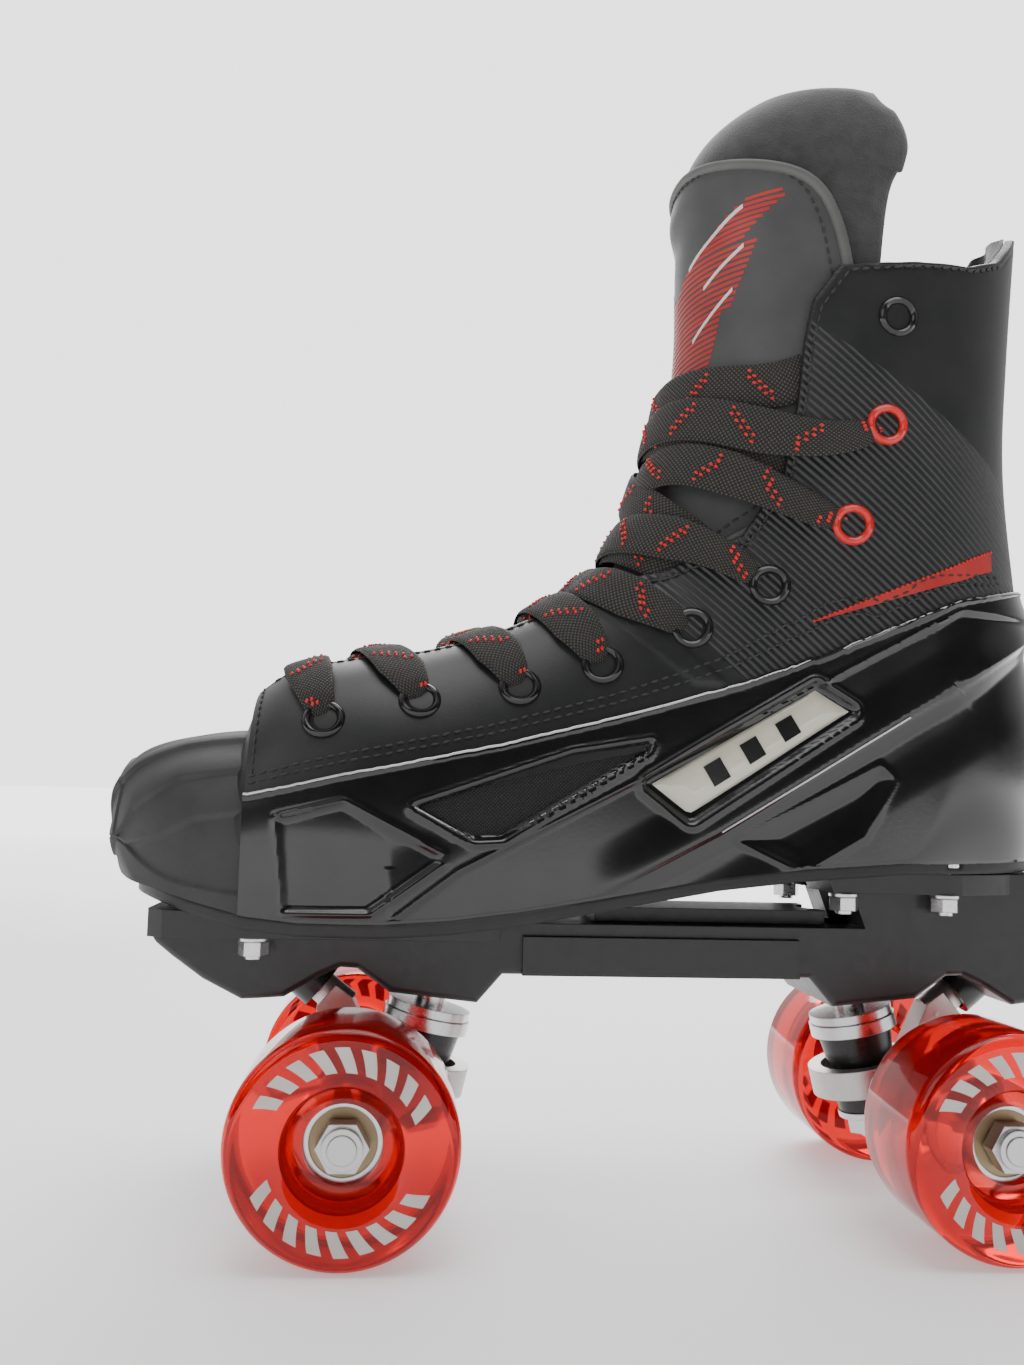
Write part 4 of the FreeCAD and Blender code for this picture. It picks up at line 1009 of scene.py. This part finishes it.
def strand_path(start, middle, end, over):
    """Centres, directions across and up, half widths, and how far the edges bend down along a strand."""
    ways = np.linspace(0, 1, STRAND_STEPS)
    turns = start[1] + (end[1] - start[1]) * ways
    cross = (0 - start[1]) / (end[1] - start[1])
    low_start, low_end = ((-2.0, 2.8, 2.2) if end_place[2] else (-3.2, -1.8, 0.4)
                          for end_place in (start, end))
    lifts = np.interp(ways, [0, 0.05, cross * 0.6, cross, (cross + 1) / 2, 0.95, 1.0],
                      [*low_start[:2], low_start[2] + over * 0.3, 0.6 + over, low_end[2], *low_end[1::-1]])
    fit = np.polyfit([start[1], 0.0, end[1]], [start[0], middle, end[0]], 2)
    place = np.polyval(fit, turns), np.minimum(0.99, np.abs(turns)), np.where(turns < 0, -1, 1)
    centres = surface(BOOT, *place, lifts)
    normal = surface(BOOT, *place, lifts + 1) - centres
    # the strand bridges the tongue in a smooth sweep rather than following every bump
    for _ in range(5):
        for values in (centres, normal):
            values[1:-1] = (values[:-2] + values[1:-1] * 2 + values[2:]) / 4
    along = unit_rows(np.gradient(centres, axis=0))
    across = unit_rows(np.cross(along, normal))
    first, last = (0.42 if end_place[2] else 1.0 for end_place in (start, end))
    width = LACE_W * np.interp(ways, [0, 0.05, 0.2, 0.8, 0.95, 1.0],
                               [first, 0.4 + 0.6 * first, 1, 1, 0.4 + 0.6 * last, last]) / 2
    bow = np.interp(ways, [0, 0.15, 0.85, 1.0], [1.8 - 1.3 * first, 0.4, 0.4, 1.8 - 1.3 * last])
    return centres, along, across, np.cross(across, along), width, bow


def strand(start, middle, end, over):
    """A flat woven strand between (station, signed way, into an eyelet or not) places, by way of middle."""
    centres, along, across, up, width, bow = strand_path(start, middle, end, over)
    length = np.concatenate([[0], np.cumsum(np.linalg.norm(np.diff(centres, axis=0), axis=1))])
    layers, uvs = [], []
    for layer in (1, -1):
        rows = []
        for k in range(STRAND_STEPS):
            for t in np.linspace(-1, 1, STRAND_COLUMNS):
                thick = LACE_T / 2 * max(0.0, 1 - abs(t) ** 6) ** 0.5 * layer
                rows.append(centres[k] + across[k] * width[k] * t + up[k] * (thick - bow[k] * t * t))
                uvs.append((length[k] * MM, (t * LACE_W / 2) * MM))
        layers.append(rows)
    size = STRAND_STEPS * STRAND_COLUMNS
    faces = grid_faces(STRAND_STEPS, STRAND_COLUMNS)
    faces += grid_faces(STRAND_STEPS, STRAND_COLUMNS, size, flip=True)
    for k in range(STRAND_STEPS - 1):
        for c in (0, STRAND_COLUMNS - 1):
            a, b = k * STRAND_COLUMNS + c, (k + 1) * STRAND_COLUMNS + c
            face = [a, b, b + size, a + size]
            faces.append(face if c == 0 else face[::-1])
    dots = strand_dots(centres, along, across, up, width, bow, length)
    return (np.array(layers[0] + layers[1]), faces), uvs, dots


def strand_dots(centres, along, across, up, width, bow, length):
    """Red tracer stitches in slanted runs that lean one way and then the other along a strand."""
    dots = []
    for s in np.arange(6, length[-1] - 5, 1.75):
        group, phase = divmod(s, TRACER_PERIOD)
        if phase > TRACER_RUN:
            continue
        i = int(np.clip(np.searchsorted(length, s), 1, STRAND_STEPS - 2))
        for shift in (-0.15, 0.15):
            t = ((phase / TRACER_RUN) * 1.3 - 0.65) * (1 if group % 2 else -1) + shift
            at = centres[i] + across[i] * width[i] * t + up[i] * (LACE_T / 2 - bow[i] * t * t + 0.1)
            step = along[i] * 0.8 + across[i] * 0.3
            dots.append(stitches(np.array([at - step, at, at + step]), 1.4, 1.0, 0.5))
    return dots


def facing_x(z):
    """Where the facing's edge is at a height over the ankle."""
    xs, zs = zip(*FACING_LINE[2:10])
    return float(np.interp(z, zs, xs))


def facing_place(low, high, low_z, high_z):
    """A place just under the facing's edge between two neighbouring eyelets."""
    z = (low_z + high_z) / 2
    if z > 206:
        return tuple(map(float, locate(facing_x(z) + 3, z)))
    p = low[0] + (high[0] - low[0]) * 0.4
    return p, min(0.46, float(front_edge([p])[0]) + 0.04)


def build_lace():
    places = [tuple(map(float, locate(x, z))) for x, z in EYELETS[:8]]
    first = places[0]
    strands = [((first[0], -first[1], True), LACE_CROSSINGS[0], (first[0], first[1], True), 0.4)]
    for k in range(1, 8):
        start = facing_place(places[k - 1], places[k], EYELETS[k - 1][1], EYELETS[k][1])
        for side, over in ((-1, 1.9 if k % 2 else 0.3), (1, 0.3 if k % 2 else 1.9)):
            strands.append(((start[0], -side * start[1], False), LACE_CROSSINGS[k],
                            (places[k][0], side * places[k][1], True), over))
    low, high = (tuple(map(float, locate(facing_x(z) + 3, z))) for z in (256, 266))
    strands.append(((low[0], low[1], False), 9.2, (high[0], -high[1], False), 1.0))
    parts, uvs, dots = [], [], []
    for start, middle, end, over in strands:
        part, part_uvs, part_dots = strand(start, middle, end, over)
        parts.append(part)
        uvs += part_uvs
        dots += part_dots
    piece = add_mesh("woven_lace", *join_parts(parts), LACE, "lace", uvs=uvs)
    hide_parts("lace")
    add_mesh("lace_red_tracers", *join_parts(dots), RED_THREAD, "lace")


def build_footbed():
    low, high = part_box("footbed")
    xs = np.linspace(low[0] / MM + 1, high[0] / MM - 1, 70)
    middle_y = (low[1] + high[1]) / 2 / MM
    half = (high[1] - low[1]) / 2 / MM
    t = np.linspace(-1, 1, 25)
    grid = []
    for lift in (8.4, 7.0):
        rows = []
        for x in xs:
            s = (x - xs[0]) / (xs[-1] - xs[0])
            w = half * (1 - abs(2 * s - 1) ** 5) ** 0.5 * (0.98 - 0.24 * soft_step(0.3, 0.62, s)) * 0.94
            z = line_height(SOLE_LINE, x) + lift + 1.6 * t ** 4
            rows.append(np.stack([np.full_like(t, x), middle_y + w * t, z], 1))
        grid.append(np.array(rows))
    piece = add_mesh("footbed_cupped", *shell_mesh(*grid), FOOTBED, "footbed")
    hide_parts("footbed")


# ---- wheels -------------------------------------------------------------------------------------
def arc_profile(centre, radius, start, turn, steps=8):
    return [(centre[0] + radius * math.cos(math.radians(start + turn * k / steps)),
             centre[1] + radius * math.sin(math.radians(start + turn * k / steps))) for k in range(steps + 1)]


def tyre_profile():
    half = WHEEL_W / 2
    lip = 3.5
    left = arc_profile((WHEEL_R - lip, -half + lip), lip, -90, 90)
    right = arc_profile((WHEEL_R - lip, half - lip), lip, 0, 90)
    face = [(15.6, 11.5), (16.0, half - 3.2), (17.0, half - 1.1), (19.0, half - 0.3), (22, half - 0.05)]
    return [(r, -y) for r, y in face] + left + right + face[::-1]


HUB_PROFILE = [(11.05, -12.0), (13.6, -12.0), (15.2, -11.2), (15.5, -10.0), (15.5, 10.0), (15.2, 11.2),
               (13.6, 12.0), (11.05, 12.0)]
DECAL_RADIUS = 20.8
DECAL_PITCH = 15        # degrees


def decal_parts(x, face, sign):
    """Plain slanted bars in two arcs on the wheel's face."""
    parts = []
    for start in (20, 200):
        for k in range(9):
            radii = np.linspace(DECAL_RADIUS, 27.6 - 0.25 * abs(k - 4), 5)
            radius, a = np.meshgrid(radii, np.linspace(0, 8.5, 4), indexing="ij")
            turn = np.radians(start + k * DECAL_PITCH + a + (radius - DECAL_RADIUS) * 1.1)
            inner = np.stack([x + radius * np.cos(turn), np.full_like(a, face),
                              WHEEL_R + radius * np.sin(turn)], -1)
            parts.append(shell_mesh(inner + np.array([0, sign * 0.12, 0]), inner))
    return parts


def build_wheels():
    for end, x in (("front", MID_X - WHEELBASE / 2), ("rear", MID_X + WHEELBASE / 2)):
        for where, sign in (("outer", -1), ("inner", 1)):
            name = f"wheel_{end}_{where}"
            middle = sign * TRACK / 2
            centre = (x, middle, WHEEL_R)
            tyre = add_mesh(f"{name}_urethane", *turned(tyre_profile(), centre, steps=128), RED_URETHANE,
                            "tyre", name, 40)
            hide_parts(f"{name}_tyre")
            hub = add_mesh(f"{name}_core", *turned(HUB_PROFILE, centre, steps=72), RED_HUB, "hub", name, 40)
            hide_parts(f"{name}_hub")
            face = middle + sign * (WHEEL_W / 2 + 0.02)
            add_mesh(f"{name}_print", *join_parts(decal_parts(x, face, sign)), PALE_PRINT, "tyre", name)


# ---- studio -------------------------------------------------------------------------------------
def place_object(name, data):
    obj = bpy.data.objects.new(name, data)
    bpy.context.scene.collection.objects.link(obj)
    return obj


def build_floor(size=60.0, drop=-0.0005):
    """A pale floor that brightens with distance until it meets the backdrop's tone."""
    mesh = bpy.data.meshes.new("floor")
    corners = [(-size, -size, drop), (size, -size, drop), (size, size, drop), (-size, size, drop)]
    mesh.from_pydata(corners, [], [(0, 1, 2, 3)])
    material, tree, shader = new_material("pale_floor", (0.86, 0.86, 0.86), 0.6, Emission_Color=(1, 1, 1, 1))
    varied(tree, shader, coordinates(tree), 3, (0.87, 0.87, 0.87), (0.9, 0.9, 0.9))
    distance = tree.nodes.new("ShaderNodeVectorMath")
    distance.operation = "LENGTH"
    link(tree, coordinates(tree), distance.inputs[0])
    glow = add_node(tree, "MapRange", {"From Min": 0.7, "From Max": 3.0, "To Min": 0.42, "To Max": 2.4},
                    Value=distance.outputs["Value"])
    link(tree, glow.outputs["Result"], shader.inputs["Emission Strength"])
    mesh.materials.append(material)
    place_object("floor", mesh)


def build_world():
    """A plain white backdrop; the light on the skate comes from a room that is bright above and behind."""
    world = bpy.data.worlds.new("studio")
    bpy.context.scene.world = world
    world.use_nodes = True
    tree = world.node_tree
    backdrop = tree.nodes["Background"]
    backdrop.inputs["Color"].default_value = (1, 1, 1, 1)
    backdrop.inputs["Strength"].default_value = 2.6
    place = tree.nodes.new("ShaderNodeTexCoord").outputs["Generated"]
    split = add_node(tree, "SeparateXYZ", {}, Vector=place).outputs
    above = math_node(tree, "ADD", math_node(tree, "MULTIPLY", split["Y"], 0.55),
                      math_node(tree, "MULTIPLY", split["Z"], 0.6))
    tone = ramp(tree, above, (0.035, 0.035, 0.036), (1.25, 1.25, 1.25), 0.0, 0.75)
    room = add_node(tree, "Background", {}, Color=tone)
    seen = tree.nodes.new("ShaderNodeLightPath").outputs["Is Camera Ray"]
    mix = tree.nodes.new("ShaderNodeMixShader")
    for k, socket in enumerate((seen, room.outputs["Background"], backdrop.outputs["Background"])):
        link(tree, socket, mix.inputs[k])
    link(tree, mix.outputs["Shader"], tree.nodes["World Output"].inputs["Surface"])


def build_lamps():
    for name, place, size, power in (("back", (0.3, 1.4, 1.3), 1.4, 34), ("top", (0.1, -0.2, 1.8), 1.2, 14),
                                     ("front", (-1.2, -1.2, 1.0), 0.9, 5)):
        lamp = bpy.data.lights.new(name, "AREA")
        lamp.energy = power
        lamp.size = size
        obj = place_object(name, lamp)
        obj.location = place
        obj.rotation_euler = (Vector((0, 0, 0.18)) - Vector(place)).to_track_quat("-Z", "Y").to_euler()


def build_camera():
    """Low and close on the outer side, looking slightly up at the front half."""
    yaw, pitch, roll = 0.085, 0.089, 0.025
    forward = Vector((math.sin(yaw) * math.cos(pitch), math.cos(yaw) * math.cos(pitch), math.sin(pitch)))
    right = Vector((math.cos(yaw), -math.sin(yaw), 0))
    up = right.cross(forward)
    x_axis = right * math.cos(roll) + up * math.sin(roll)
    y_axis = up * math.cos(roll) - right * math.sin(roll)
    data = bpy.data.cameras.new("camera")
    data.lens = 33.26
    data.sensor_width = 36
    data.clip_start = 0.01
    camera = place_object("camera", data)
    place = Vector((-82.15 + MID_X, -421.99, 129.14)) * MM
    rows = [[x_axis[k], y_axis[k], -forward[k], place[k]] for k in range(3)] + [[0, 0, 0, 1]]
    camera.matrix_world = Matrix(rows)
    bpy.context.scene.camera = camera


finish_cad_nodes()
build_upper()
build_side_shell()
build_painted_edge_highlights()
build_window_mesh()
build_badges()
build_toe_cap()
build_lining()
build_tongue()
build_stitching()
build_red_wedge()
build_eyelets()
build_lace()
build_footbed()
build_wheels()
build_floor()
build_world()
build_lamps()
build_camera()
